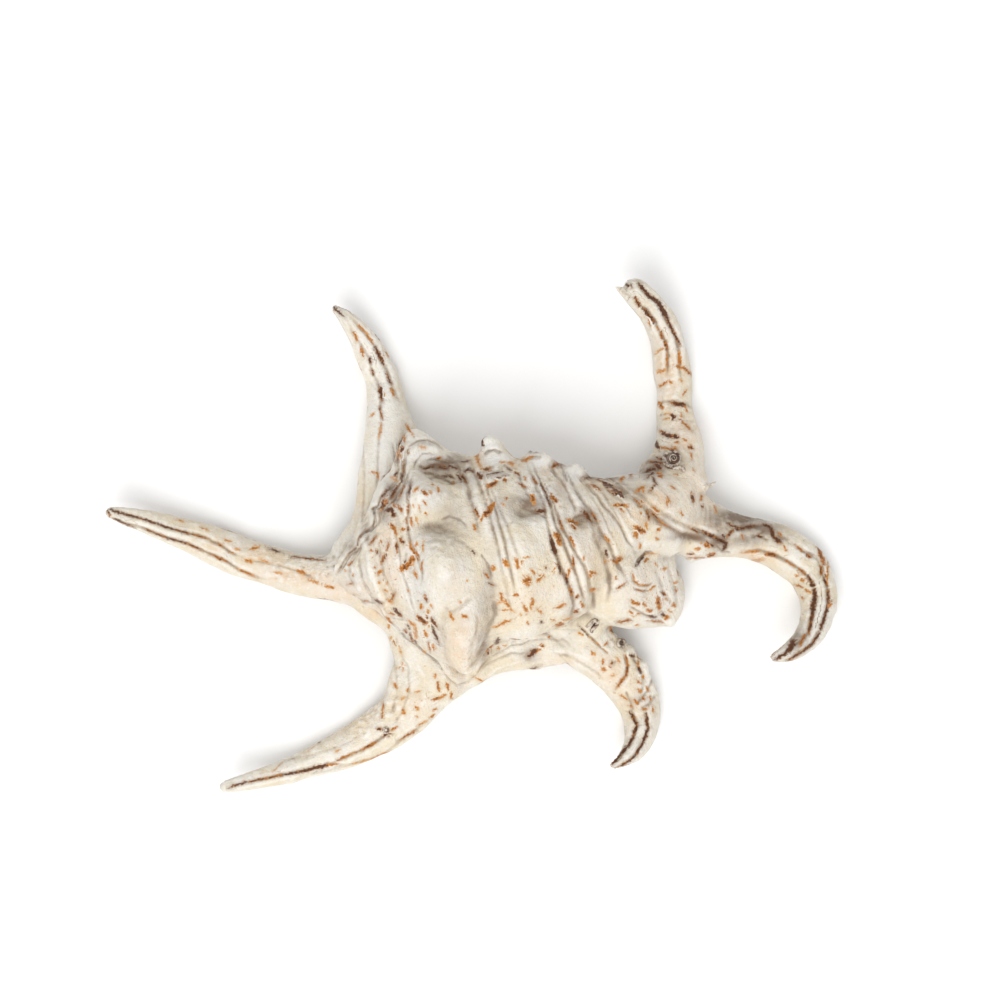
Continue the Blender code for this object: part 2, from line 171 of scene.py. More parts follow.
print(len(FINGERS), "fingers,", sum(len(stations) for stations in FINGERS), "stations")

# %% [markdown]
# Between the fingers the lip is a web. One web joins the two left fingers behind the spire, one runs
# along the lip, one is the lobe at the front, one carries the canal, one fills the shoulder between lip
# and lobe, and one is the floor of the mouth side. The mouth is a long curved slot, cut out of the rest.
# %% The webs' and the mouth's stations
BACK_WEB = (
    (-33, -12, 10, 4, 3.6), (-25, -14.5, 10.5, 6, 4.2), (-15.5, -21, 11, 6.6, 5), (-10.5, -30, 10, 8, 5),
    (-4, -34, 10, 7, 4),
)
LIP_WEB = (
    (-14, -39, 8.5, 6, 3.4, 0), (-7, -36, 8.6, 6.2, 3.4, 12), (0, -31.4, 9, 6.2, 3.4, 20),
    (7, -28.6, 9.6, 6.4, 3.4, 24), (15, -27, 10.2, 6.8, 3.4, 24), (22, -26, 10.8, 7, 3.6, 20),
    (29, -27.5, 10.4, 7, 4, 8),
)
FRONT_LOBE = (
    (26, -10, 20, 10, 13), (33, -11.4, 18, 11, 11.4), (40, -12, 14.2, 11.8, 8.6),
    (46.5, -12.6, 10.4, 11.2, 5.6), (51.4, -13, 7.6, 8.6, 3.2), (54.2, -12.4, 6.6, 5.4, 2.2),
)
CANAL_BASE = (
    (26, 1, 20, 12, 14), (35, 3, 19, 10.4, 13.4), (44, 4.6, 17, 10.4, 11.6), (51, 5, 14.4, 10.6, 9),
    (58, 4, 12.8, 8.8, 7.4),
)
MOUTH_FLOOR = (
    (-22, -6, 7.5, 10, 4.5), (-8, -8, 7.2, 18, 4.6), (10, -6, 7, 22, 4.8), (28, -2, 7.4, 18, 5),
    (42, 0, 8, 13, 5.5), (52, 2, 9, 9, 5.5),
)
SHOULDER_WEB = (
    (18, -21, 15.5, 4, 5), (24.5, -22, 14.8, 4.6, 5.6), (29.5, -22.6, 14.4, 4.6, 5.4),
    (34, -21.6, 14.4, 3.4, 4.4),
)
MOUTH_SLOT = (
    (-26, -15.5, 1, 1.6, 6), (-14, -19.5, 1, 3, 9), (0, -21.5, 1, 4.2, 12), (14, -20.5, 1, 4.6, 13),
    (27, -14.5, 1, 4.4, 12), (36, -4.5, 1, 3.6, 10), (43, 6, 1, 2.6, 8), (49, 15, 1, 1.6, 5),
)
WEBS = (BACK_WEB, LIP_WEB, FRONT_LOBE, CANAL_BASE, SHOULDER_WEB, MOUTH_FLOOR)
print(len(WEBS), "webs")

# %% [markdown]
# The spire and the last turn are one surface round the coiling axis. A station gives the distance from
# the tip along the axis, then how far the shell stands from the axis towards the lip, away from the lip,
# upwards and downwards. Humps and hollows are soft bumps on it, given by their place along the axis,
# their angle round it (0 is the lip side, 90 the top), their reach and their height.
# %% The spire and the last turn
APEX = np.array((-34.2, -10.4, 17.5))
AXIS_TURN = math.radians(11.5)
AXIS_RISE = math.radians(6.0)
AXIS = np.array((
    math.cos(AXIS_TURN) * math.cos(AXIS_RISE),
    math.sin(AXIS_TURN) * math.cos(AXIS_RISE),
    math.sin(AXIS_RISE),
))
TO_LIP = np.array((math.sin(AXIS_TURN), -math.cos(AXIS_TURN), 0.0))
AXIS_UP = np.cross(TO_LIP, AXIS)
WHORL_STATIONS = (
    (0, 0, 0, 0, 0), (2, 2.6, 2.4, 2.6, 2.2), (4, 5, 4.6, 5, 4.2), (8, 10, 9.2, 9.6, 7.6),
    (12, 15, 14, 14, 10.6), (16, 20, 18.6, 18.4, 13.2), (20, 24, 23.4, 22.4, 15.4),
    (23.5, 26.2, 26.2, 23.8, 16.8), (27, 26.6, 27.2, 24.2, 17.8), (31, 26, 25.6, 24.2, 18.6),
    (36, 24.8, 22.6, 23.6, 19.4), (42, 24.4, 20.6, 22.8, 20.2), (48, 24.6, 19.4, 22.4, 20.8),
    (55, 24, 16.6, 20.2, 21.2), (60, 21.6, 13.6, 18, 21.4), (66, 16.4, 10.4, 14.4, 21.2),
    (72, 11.6, 8.5, 10.6, 19.4), (78, 7.4, 6.5, 6.6, 15), (84, 0, 0, 0, 0),
)

HUMPS = (
    (29.6, 163, 4.6, 12, 4.2), (26, 160, 3.4, 12, 1.8), (28.4, 116, 5, 9, 3.4), (31, 80, 5.4, 13, 5.4),
    (31, 42, 5.2, 18, 6.4), (29, 12, 4.4, 16, 5.4), (35.4, 52, 3.2, 20, 2.6), (31.6, 103, 5.2, 7.5, -3),
    (33.6, 138, 5, 8.5, -3.8), (44.6, 172, 2, 8, 4.6), (47.6, 171, 2, 8, 4.4), (46.6, 161, 3, 5, 1.4),
    (47, 98, 4.6, 13, 1.6), (50.6, 80, 4.2, 12, 2.6), (47.5, 62, 6, 20, 3.6), (44.5, 24, 5.2, 18, 2.8),
    (51.6, 100, 3.8, 6, -3), (54.4, 171, 1.8, 8, 2.6), (57.8, 166, 2.4, 8, 3.8), (61.6, 172, 1.8, 8, 2.2),
    (65.2, 167, 2, 9, 3.8), (62.6, 70, 3, 12, 2.4), (62.5, 52, 3.2, 18, 2.6), (60, 28, 3.4, 16, 2.2),
    (64.2, 87, 2.8, 6, -2.8),
)
print("the axis points", AXIS.round(2), "with", len(HUMPS), "humps and hollows")

# %% [markdown]
# On the spire each turn hides most of the one before, so the surface steps down at every seam. The
# seams follow a spiral: each is a fixed ratio further from the tip than the last. A ring of low knobs
# runs along each step.
# %% Distance of the surface from the axis
WHORL_RATIO = 1.7
LAST_SEAM = 21.5
SEAM_STEP = 2.6
SEAM_LEDGE = 0.14
SEAM_LEVEL = 0.35
KNOBS_PER_TURN = 13
KNOB_SWELL = 0.35
SPIRE_FADE = 5.0
WALL_FULLNESS = 0.35


def seam_share(a, degrees):
    """How far round from one seam to the next a place on the spire is, 0 to 1."""
    whorl = np.log(np.maximum(a, 0.4) / LAST_SEAM) / math.log(WHORL_RATIO) + (degrees - 90) / 360
    return whorl % 1.0


def whorl_lift(a, degrees):
    """What the humps, the hollows and the steps of the spire add to the distance from the axis."""
    lift = np.zeros_like(a)
    for place, angle, reach, reach_deg, height in HUMPS:
        turn = (degrees - angle + 180) % 360 - 180
        lift += height * np.exp(-((a - place) / reach) ** 2 - (turn / reach_deg) ** 2)
    knobs = 1 + KNOB_SWELL * np.cos(np.radians(degrees * KNOBS_PER_TURN))
    share = seam_share(a, degrees)
    ledge = share**2 * np.clip((1 - share) / SEAM_LEDGE, 0, 1)
    step = (ledge - SEAM_LEVEL) * knobs * SEAM_STEP * np.clip(a / 12, 0, 1)
    return lift + step * np.clip((LAST_SEAM + 4 - a) / SPIRE_FADE, 0, 1)


def whorl_reach(a):
    """The four plain distances from the axis at a: to the lip, away from it, up and down."""
    table = np.array(WHORL_STATIONS)
    return [np.interp(a, table[:, 0], table[:, k]) for k in range(1, 5)]


def whorl_surface(along, around):
    """Points of the turns, from shares of the axis and angles round it."""
    a = along * WHORL_STATIONS[-1][0]
    lip, far, top, bottom = whorl_reach(a)
    c, s = np.cos(around), np.sin(around)
    lift = whorl_lift(a, np.degrees(around) % 360)
    wall = np.where(s < 0, np.abs(c) ** WALL_FULLNESS, c)
    sideways = np.where(c > 0, lip * wall, far * c) + lift * c
    upwards = np.where(s > 0, top, bottom) * s + lift * s
    return APEX + a[:, None] * AXIS + sideways[:, None] * TO_LIP + upwards[:, None] * AXIS_UP


print("seams at", [round(LAST_SEAM / WHORL_RATIO**k, 1) for k in range(5)], "mm from the tip")

# %% [markdown]
# A limb's skin is an ellipse carried along its middle line, closed by a round end. The same helper
# takes any surface: it adds a sphere with bpy.ops, then moves each of its points to where the surface
# is, with the sphere's poles at the two ends of the limb.
# %% Spheres wrapped onto a surface
LIMB_SEGMENTS, LIMB_RINGS = 48, 110
WHORL_SEGMENTS, WHORL_RINGS = 256, 300
THINNEST = 0.2


def only(thing):
    """Selects this object alone and makes it the active one."""
    bpy.ops.object.select_all(action="DESELECT")
    thing.select_set(True)
    bpy.context.view_layer.objects.active = thing


def limb_surface(stations, along, around):
    """Points of a limb's skin, from shares of its middle line and angles round it."""
    places, across, up, where, length = limb_frame(stations, along)
    width, height = np.maximum(places[:, 3:5].T, THINNEST)
    cap = np.where(where < length / 2, width[np.argmin(along)], width[np.argmax(along)])
    to_end = np.clip(np.minimum(where, length - where) / cap, 0, 1)
    rounded = np.sqrt(1 - (1 - to_end) ** 2)
    sideways = (width * rounded * np.cos(around))[:, None] * across
    return places[:, :3] + sideways + (height * rounded * np.sin(around))[:, None] * up


def rows_of(things, name, columns, kind=float):
    """A value of each of a mesh's vertices or edges, as rows."""
    flat = np.empty(len(things) * columns, kind)
    things.foreach_get(name, flat)
    return flat.reshape(-1, columns)


def points_of(thing):
    """The object's points as rows of millimetres."""
    return rows_of(thing.data.vertices, "co", 3) / MM


def normals_of(thing):
    """The way the skin faces at each point."""
    return rows_of(thing.data.vertices, "normal", 3)


def move_points(thing, points):
    """Puts the object's points at these millimetres."""
    thing.data.vertices.foreach_set("co", (points * MM).ravel())
    thing.data.update()


def wrapped_sphere(name, surface, segments, rings):
    """A sphere whose points are moved onto a surface, with its faces outwards."""
    bpy.ops.object.select_all(action="DESELECT")
    bpy.ops.mesh.primitive_uv_sphere_add(segments=segments, ring_count=rings, radius=MM)
    thing = bpy.context.object
    thing.name = name
    ball = points_of(thing)
    along = np.arccos(np.clip(-ball[:, 2], -1, 1)) / math.pi
    around = np.arctan2(ball[:, 1], ball[:, 0])
    move_points(thing, surface(along, around) + CENTRE_SHIFT)
    bpy.ops.object.mode_set(mode="EDIT")
    bpy.ops.mesh.select_all(action="SELECT")
    bpy.ops.mesh.normals_make_consistent(inside=False)
    bpy.ops.object.mode_set(mode="OBJECT")
    return thing


def limb(name, stations):
    """A wrapped sphere that follows a limb's stations."""
    def surface(along, around):
        return limb_surface(stations, along, around)

    return wrapped_sphere(name, surface, LIMB_SEGMENTS, LIMB_RINGS)


whorls = wrapped_sphere("shell_grown", whorl_surface, WHORL_SEGMENTS, WHORL_RINGS)
limbs = [limb("limb_%d" % k, stations) for k, stations in enumerate(FINGERS + WEBS)]
print(len(limbs), "limbs and the whorls,", len(whorls.data.vertices), "points in the whorls")

# %% [markdown]
# Now the limbs are joined into one object and a voxel remesh melts them into a single skin. The mouth is
# cut with a Boolean, and a second, finer remesh gives even small faces. Many rounds of smoothing turn
# the sharp joins into the soft fillets that growth leaves.
# %% Melt, cut and soften
ROUGH_VOXEL = 0.7
FINE_VOXEL = 0.45
SOFTENING_ROUNDS = 16


def finish_with(thing, kind, **settings):
    """Adds a modifier with these settings and applies it."""
    only(thing)
    modifier = thing.modifiers.new(kind.lower(), kind)
    for name, value in settings.items():
        setattr(modifier, name, value)
    bpy.ops.object.modifier_apply(modifier=modifier.name)


only(whorls)
for thing in limbs:
    thing.select_set(True)
bpy.ops.object.join()
shell = bpy.context.object
shell.name = "shell_grown"
finish_with(shell, "REMESH", mode="VOXEL", voxel_size=ROUGH_VOXEL * MM)
slot = limb("mouth_slot", MOUTH_SLOT)
finish_with(shell, "BOOLEAN", object=slot, operation="DIFFERENCE")
bpy.data.objects.remove(slot)
finish_with(shell, "REMESH", mode="VOXEL", voxel_size=FINE_VOXEL * MM)
finish_with(shell, "SMOOTH", factor=0.5, iterations=SOFTENING_ROUNDS)
print("one skin with", len(shell.data.vertices), "points")

# %% [markdown]
# A hand would feel much more: cords, folds, scars, ribs and pits. Those seen in the photograph are drawn
# as lines through its pixels, so each point of the skin needs its pixel, and how far it faces the camera.
# The sides that the photograph doesn't show get the same kinds of relief by rule.
# %% Where each point lies in the photograph
TO_CAMERA = np.array(to_camera)
EDGE_ON, FACING_SPAN = 0.04, 0.22
PICTURE_UP = np.array((0.0, math.sin(CAMERA_RISE), math.cos(CAMERA_RISE)))


def picture_of(points):
    """The pixel of each point, across and down."""
    from_aim = points - np.array(AIM) / MM
    scale = MM / PIXEL / (1 - from_aim @ TO_CAMERA * MM / CAMERA_AWAY)
    return PICTURE_MIDDLE + np.stack([from_aim[:, 0] * scale, -(from_aim @ PICTURE_UP) * scale], axis=1)


def faces_camera(normals):
    """1 where the skin faces the camera, 0 where it turns away."""
    return np.clip((normals @ TO_CAMERA - EDGE_ON) / FACING_SPAN, 0, 1)


print("the tip of the spire is at pixel", picture_of(APEX[None] + CENTRE_SHIFT).round(1))

# %% [markdown]
# Nothing on a shell is even, so most of what follows is stirred with soft lumps: a block of random
# numbers that is read smoothly. The same seed gives the same lumps on every run.
# %% Soft random lumps
LUMP_GRID = 32


def lumps(points, size, seed):
    """A soft random value from -1 to 1 at each point, which changes over about this size in millimetres."""
    grid = np.random.default_rng(seed).uniform(-1, 1, (LUMP_GRID,) * 3)
    at = points / size
    cell = np.floor(at).astype(int)
    part = at - cell
    part = part * part * (3 - 2 * part)
    total = np.zeros(len(points))
    for corner in np.ndindex(2, 2, 2):
        weight = np.prod(np.where(corner, part, 1 - part), axis=1)
        i, j, k = ((cell + corner) % LUMP_GRID).T
        total += weight * grid[i, j, k]
    return total


def wandering(points, pixels, size, seed):
    """The pixel of each point, moved by up to so many pixels with soft lumps of this size."""
    wander = np.stack([lumps(points, size, seed), lumps(points, size, seed + 1)], axis=1)
    return picture_of(points) + pixels * wander


print("lumps run from", lumps(np.random.default_rng(1).uniform(0, 50, (400, 3)), 3, 1).min().round(2))

# %% [markdown]
# A fold is a line with a depth in millimetres and a width in pixels. A minus depth is a ridge. The lines
# wander a little with the lumps, and fade at their ends, so they look grown and not ruled.
# %% Lines on the picture
FOLD_END = 0.15


def beside(places, line):
    """How far each place is to the side of a line of pixels, and the share of the line before it."""
    steps = np.diff(line, axis=0)
    lengths = np.hypot(steps[:, 0], steps[:, 1])
    nearest = np.full(len(places), 1e6)
    share = np.zeros(len(places))
    before = 0.0
    for start, step, length in zip(line[:-1], steps / lengths[:, None], lengths):
        along = np.clip((places - start) @ step, 0, length)
        off = places - start - along[:, None] * step
        away = np.hypot(off[:, 0], off[:, 1])
        side = np.where(off[:, 0] * step[1] > off[:, 1] * step[0], away, -away)
        closer = away < np.abs(nearest)
        nearest[closer] = side[closer]
        share[closer] = (before + along[closer]) / lengths.sum()
        before += length
    return nearest, share


def close_to(places, line, reach):
    """Which places lie in the line's box, grown by the reach."""
    low, high = line.min(axis=0) - reach, line.max(axis=0) + reach
    return np.flatnonzero(((places > low) & (places < high)).all(axis=1))


def area(places, x, y, across, down):
    """1 in the middle of a soft oval on the picture, 0 far outside it."""
    return np.exp(-(((places[:, 0] - x) / across) ** 2) - ((places[:, 1] - y) / down) ** 2)


def folded(places, folds):
    """How far the folds push the skin in, in millimetres."""
    sunk = np.zeros(len(places))
    for depth, width, *line in folds:
        line = np.array(line, float)
        near = close_to(places, line, 3 * width)
        away, share = beside(places[near], line)
        ends = np.clip(np.minimum(share, 1 - share) / FOLD_END, 0, 1)
        sunk[near] += depth * ends * np.exp(-((away / width) ** 2))
    return sunk


print("a fold's middle is at", beside(np.array([[5.0, 3.0]]), np.array([[0.0, 0.0], [10.0, 0.0]])))

# %% [markdown]
# The cords run round the last turn in groups of three or four, crowd together towards the canal, and
# cross the humps. A deep fold divides the cords from the smooth back of the canal. Swells are soft
# bumps: height in millimetres, place and reach in pixels. Rough areas have their place and reach too.
# %% Folds of the last turn
CORD_FOLDS = (
    (0.32, 2.8, (461, 463), (465, 480), (470, 498), (474, 513), (476, 523), (480, 536)),
    (0.38, 2.8, (470, 460), (474, 473), (480, 485), (485, 498), (489, 512), (493, 530), (497, 548)),
    (0.25, 2.6, (489, 512), (497, 548), (503, 575), (508, 600), (512, 622)),
    (0.45, 2.2, (479, 468), (485, 483), (490, 498), (495, 510), (499, 524), (505, 546), (511, 572),
     (515, 596)),
    (0.3, 2.4, (490, 484), (496, 503), (505, 521), (513, 542), (520, 562)),
    (0.3, 1.8, (519, 472), (521, 481), (527, 491), (533, 500)),
    (0.5, 2.4, (526, 462), (533, 476), (538, 488), (543, 501), (547, 526), (551, 539), (556, 553), (560, 566),
     (566, 580), (572, 594), (573, 606), (571, 618), (572, 628)),
    (0.6, 2.4, (531, 460), (540, 480), (549, 500), (552, 512), (556, 524), (562, 539), (568, 556), (575, 573),
     (581, 589), (585, 601), (588, 613)),
    (0.6, 2.4, (540, 474), (545, 486), (550, 497), (556, 511), (561, 523), (567, 536), (572, 548), (578, 557),
     (584, 566), (589, 580), (593, 596), (595, 612)),
    (0.45, 2.2, (548, 462), (553, 470), (562, 482), (569, 495), (575, 507), (577, 515)),
    (0.5, 2.2, (562, 466), (571, 480), (578, 493), (585, 504), (590, 509), (595, 518), (602, 533), (608, 541),
     (614, 557), (620, 566), (628, 582)),
    (0.6, 3, (592, 522), (595, 538), (601, 551), (606, 562), (610, 575), (610, 590), (606, 603)),
    (0.5, 2, (582, 478), (590, 487), (598, 496), (604, 505), (610, 512), (617, 521), (625, 534), (631, 545),
     (636, 555)),
    (0.28, 1.6, (600, 488), (608, 500), (614, 512), (619, 521), (628, 539), (633, 549)),
    (0.35, 1.8, (602, 483), (611, 493), (620, 500), (629, 511), (636, 521)),
    (0.25, 1.6, (575, 470), (583, 484), (592, 497), (600, 510), (607, 524), (614, 540)),
    (0.95, 4.2, (594, 474), (603, 477), (611, 480), (619, 486), (626, 493), (635, 499), (641, 505),
     (651, 512), (659, 520), (668, 526), (680, 533), (693, 537), (704, 541), (718, 546)),
    (0.5, 3.4, (612, 473), (624, 484), (633, 490), (643, 496), (652, 506), (665, 514), (680, 523), (692, 529),
     (704, 533), (718, 540)),
)
CORD_RIDGES = (
    (-0.35, 3.4, (465, 461), (470, 477), (475, 492), (480, 506), (484, 520), (488, 540)),
    (-0.35, 3, (474, 461), (480, 474), (486, 489), (490, 502), (494, 518), (499, 538), (504, 560)),
    (-0.3, 3, (484, 470), (491, 486), (497, 502), (503, 520), (510, 542), (517, 565)),
    (-0.3, 3.6, (523, 464), (530, 482), (536, 497), (541, 510), (545, 524), (549, 540), (555, 560),
     (562, 582), (567, 600)),
    (-0.3, 2.4, (529, 461), (537, 478), (544, 496), (549, 512), (554, 527), (560, 543), (567, 563)),
    (-0.25, 4.6, (547, 478), (555, 494), (562, 509), (569, 523), (575, 538), (581, 552), (587, 566),
     (592, 582)),
    (-0.4, 3.4, (557, 472), (566, 486), (574, 498), (581, 509), (588, 522), (594, 536), (600, 550),
     (606, 562)),
    (-0.22, 3.2, (578, 478), (586, 490), (593, 501), (600, 513), (606, 526), (612, 540), (618, 555),
     (624, 568)),
    (-0.2, 3.4, (596, 486), (604, 497), (612, 508), (620, 520), (628, 533), (635, 546)),
    (-0.3, 3, (608, 485), (617, 496), (626, 508), (635, 521), (643, 534)),
)
HUMP_FOLDS = (
    (0.25, 5, (484, 558), (487, 572), (492, 585), (495, 601), (496, 618)),
    (0.6, 3, (495, 601), (496, 615), (491, 624), (487, 635), (484, 643), (478, 655), (473, 664), (466, 672)),
    (0.32, 3, (447, 614), (459, 607), (468, 601), (473, 597)),
    (0.34, 4, (446, 604), (442, 626), (444, 645), (447, 660), (455, 670), (462, 673), (471, 670)),
    (0.25, 2.4, (475, 612), (478, 621), (477, 631), (472, 641), (472, 650), (468, 664)),
    (0.55, 6.5, (419, 532), (430, 528), (443, 529), (456, 534), (468, 540)),
    (0.25, 2.6, (424, 543), (434, 540), (446, 541), (458, 545)),
    (0.55, 1.8, (418, 464), (426, 467), (433, 465), (441, 466), (450, 468)),
    (0.55, 1.8, (421, 472), (430, 473), (440, 476), (450, 475), (457, 479)),
    (0.5, 1.8, (432, 459), (440, 458), (448, 461), (456, 462)),
    (0.7, 1.8, (483, 455), (488, 451), (495, 450), (503, 453)),
    (0.6, 1.6, (527, 458), (534, 457), (542, 457)),
    (0.5, 1.8, (560, 463), (565, 472), (568, 482)),
    (-0.25, 2.4, (423, 537), (432, 533), (443, 535), (452, 541)),
    (0.25, 2, (428, 549), (436, 547), (446, 551)),
    (0.45, 1.8, (425, 461), (434, 458), (444, 460), (453, 463)),
    (0.4, 1.5, (404, 464), (405, 454), (409, 446), (417, 441), (427, 440), (436, 444), (444, 451)),
    (-0.3, 2, (409, 466), (411, 456), (416, 449), (424, 446), (433, 449), (440, 454)),
    (0.3, 1.6, (413, 470), (416, 461), (422, 454), (430, 453), (437, 456)),
    (0.45, 1.8, (446, 455), (454, 461), (460, 470), (462, 482)),
    (0.3, 2, (428, 478), (437, 477), (447, 480), (456, 486)),
    (0.25, 2, (440, 520), (450, 516), (460, 520), (468, 528)),
    (0.25, 2, (452, 536), (462, 540), (470, 548)),
    (0.4, 2, (520, 508), (530, 511), (540, 514), (547, 519)),
    (0.4, 2, (572, 518), (582, 516), (590, 519), (596, 525)),
    (0.35, 1.6, (480, 553), (488, 566), (492, 578)),
)
SWELLS = (
    (-0.8, 648, 631, 10, 4), (0.9, 670, 622, 5, 5), (1, 692, 561, 6, 6), (0.9, 687, 568, 6, 9),
    (1.5, 707, 485, 6, 11), (1.2, 496, 684, 18, 5), (1, 630, 650, 8, 7), (0.8, 643, 664, 5, 9),
    (0.5, 590, 655, 10, 6), (0.7, 540, 668, 10, 4), (0.8, 488, 441, 9, 5), (0.7, 548, 462, 5, 7),
    (0.7, 580, 474, 5, 7),
)
ROUGH_AREAS = (
    (501, 474, 15, 9), (550, 482, 7, 8), (430, 465, 20, 9), (462, 478, 5, 16), (520, 500, 8, 6),
    (489, 447, 12, 8), (645, 690, 9, 22), (382, 500, 10, 16), (497, 685, 24, 5), (612, 642, 10, 6),
    (495, 471, 16, 9), (544, 497, 6, 10), (345, 555, 14, 14), (738, 524, 34, 10), (300, 570, 40, 12),
    (366, 722, 34, 16), (396, 700, 12, 30), (656, 466, 14, 8), (790, 640, 14, 12), (372, 350, 12, 40),
    (672, 380, 14, 50),
)
print(len(CORD_FOLDS) + len(HUMP_FOLDS), "folds on the last turn")

# %% [markdown]
# Each turn of the spire meets the one before it in a seam. The last turn meets the lip's plate in a long
# soft crease, and the plate carries low ribs that run out into the fingers.
# %% Folds of the spire, the plate and the lobe
SEAM_FOLDS = (
    (0.45, 2, (415, 472), (410, 481), (407, 489), (407, 500), (409, 506), (408, 513), (406, 520), (408, 531),
     (410, 541), (414, 552), (419, 561), (422, 572), (421, 588)),
    (0.9, 2.4, (403, 452), (403, 472), (401, 481), (397, 489), (393, 497), (388, 502), (384, 509),
     (380, 517)),
    (0.35, 1.8, (394, 524), (397, 538), (400, 555), (401, 568), (405, 580), (409, 593), (413, 607),
     (416, 618)),
    (0.4, 1.7, (378, 541), (380, 556), (383, 573), (389, 588), (396, 602)),
    (0.4, 1.6, (360, 552), (359, 565), (362, 580), (368, 592), (375, 601)),
    (0.2, 1.4, (348, 566), (349, 577), (354, 588)),
    (0.95, 2, (387, 490), (381, 497), (378, 505), (373, 509), (374, 517), (374, 524), (370, 529), (363, 532),
     (358, 539), (357, 547), (348, 555), (342, 566), (335, 577)),
    (0.7, 1.8, (404, 436), (399, 446), (397, 458), (399, 470), (396, 480), (390, 488), (384, 494)),
    (0.6, 1.8, (410, 470), (406, 480), (402, 489), (398, 496), (392, 503)),
    (0.5, 1.6, (388, 497), (384, 505), (380, 511), (380, 520), (377, 527)),
    (0.45, 1.6, (370, 532), (366, 540), (360, 546), (354, 556), (347, 566)),
    (-0.4, 3, (350, 562), (352, 573), (356, 584), (362, 593)),
    (-0.45, 3.6, (368, 545), (368, 560), (372, 577), (379, 592), (386, 602)),
    (-0.5, 4, (386, 540), (389, 556), (393, 572), (399, 590), (406, 606)),
    (0.2, 1.4, (374, 600), (381, 604), (387, 612), (393, 618), (404, 620), (411, 622)),
)
PLATE_FOLDS = (
    (0.26, 1.3, (335, 579), (342, 586), (350, 593), (360, 596), (364, 601), (375, 603), (380, 608),
     (385, 616), (392, 624), (400, 633), (407, 639), (416, 645), (428, 654), (437, 662), (443, 670),
     (450, 679), (458, 685), (468, 682), (476, 675), (484, 665), (489, 659), (497, 653), (505, 649),
     (511, 645), (521, 645), (529, 641), (540, 640), (550, 640), (559, 641), (566, 638), (574, 630)),
    (0.12, 5, (400, 633), (428, 654), (443, 670), (458, 685), (476, 675), (489, 659), (511, 645), (540, 640),
     (566, 638)),
    (0.3, 2, (476, 674), (487, 664), (501, 657), (511, 653), (521, 654), (530, 651)),
    (-0.3, 2.2, (484, 679), (497, 668), (511, 663), (526, 659), (545, 655)),
    (0.25, 2, (553, 652), (571, 657), (586, 666), (597, 673), (605, 682)),
    (-0.2, 2, (536, 648), (549, 650), (566, 650), (583, 656), (597, 665), (608, 674)),
    (0.35, 1.2, (581, 628), (589, 636), (597, 643), (603, 649), (610, 654)),
    (0.5, 1.8, (624, 654), (628, 666), (626, 675), (617, 686)),
    (0.4, 1.6, (633, 573), (634, 581), (639, 586), (648, 586), (654, 582)),
    (0.35, 1.6, (634, 588), (640, 590), (648, 591)),
    (0.55, 1.4, (636, 565), (640, 558), (646, 553), (654, 553)),
    (0.4, 1.8, (628, 606), (637, 611), (650, 617), (661, 621)),
    (0.35, 2.2, (655, 566), (660, 580), (664, 592), (672, 604)),
    (0.35, 2.2, (668, 566), (672, 580), (676, 594), (676, 606)),
    (0.2, 2, (398, 648), (408, 668), (410, 690), (402, 712), (392, 728)),
    (0.2, 2, (392, 656), (397, 676), (397, 696), (389, 716)),
    (-0.2, 2.4, (412, 656), (424, 676), (424, 700), (410, 722)),
)
print(len(SEAM_FOLDS) + len(PLATE_FOLDS), "folds on the spire and the plate")

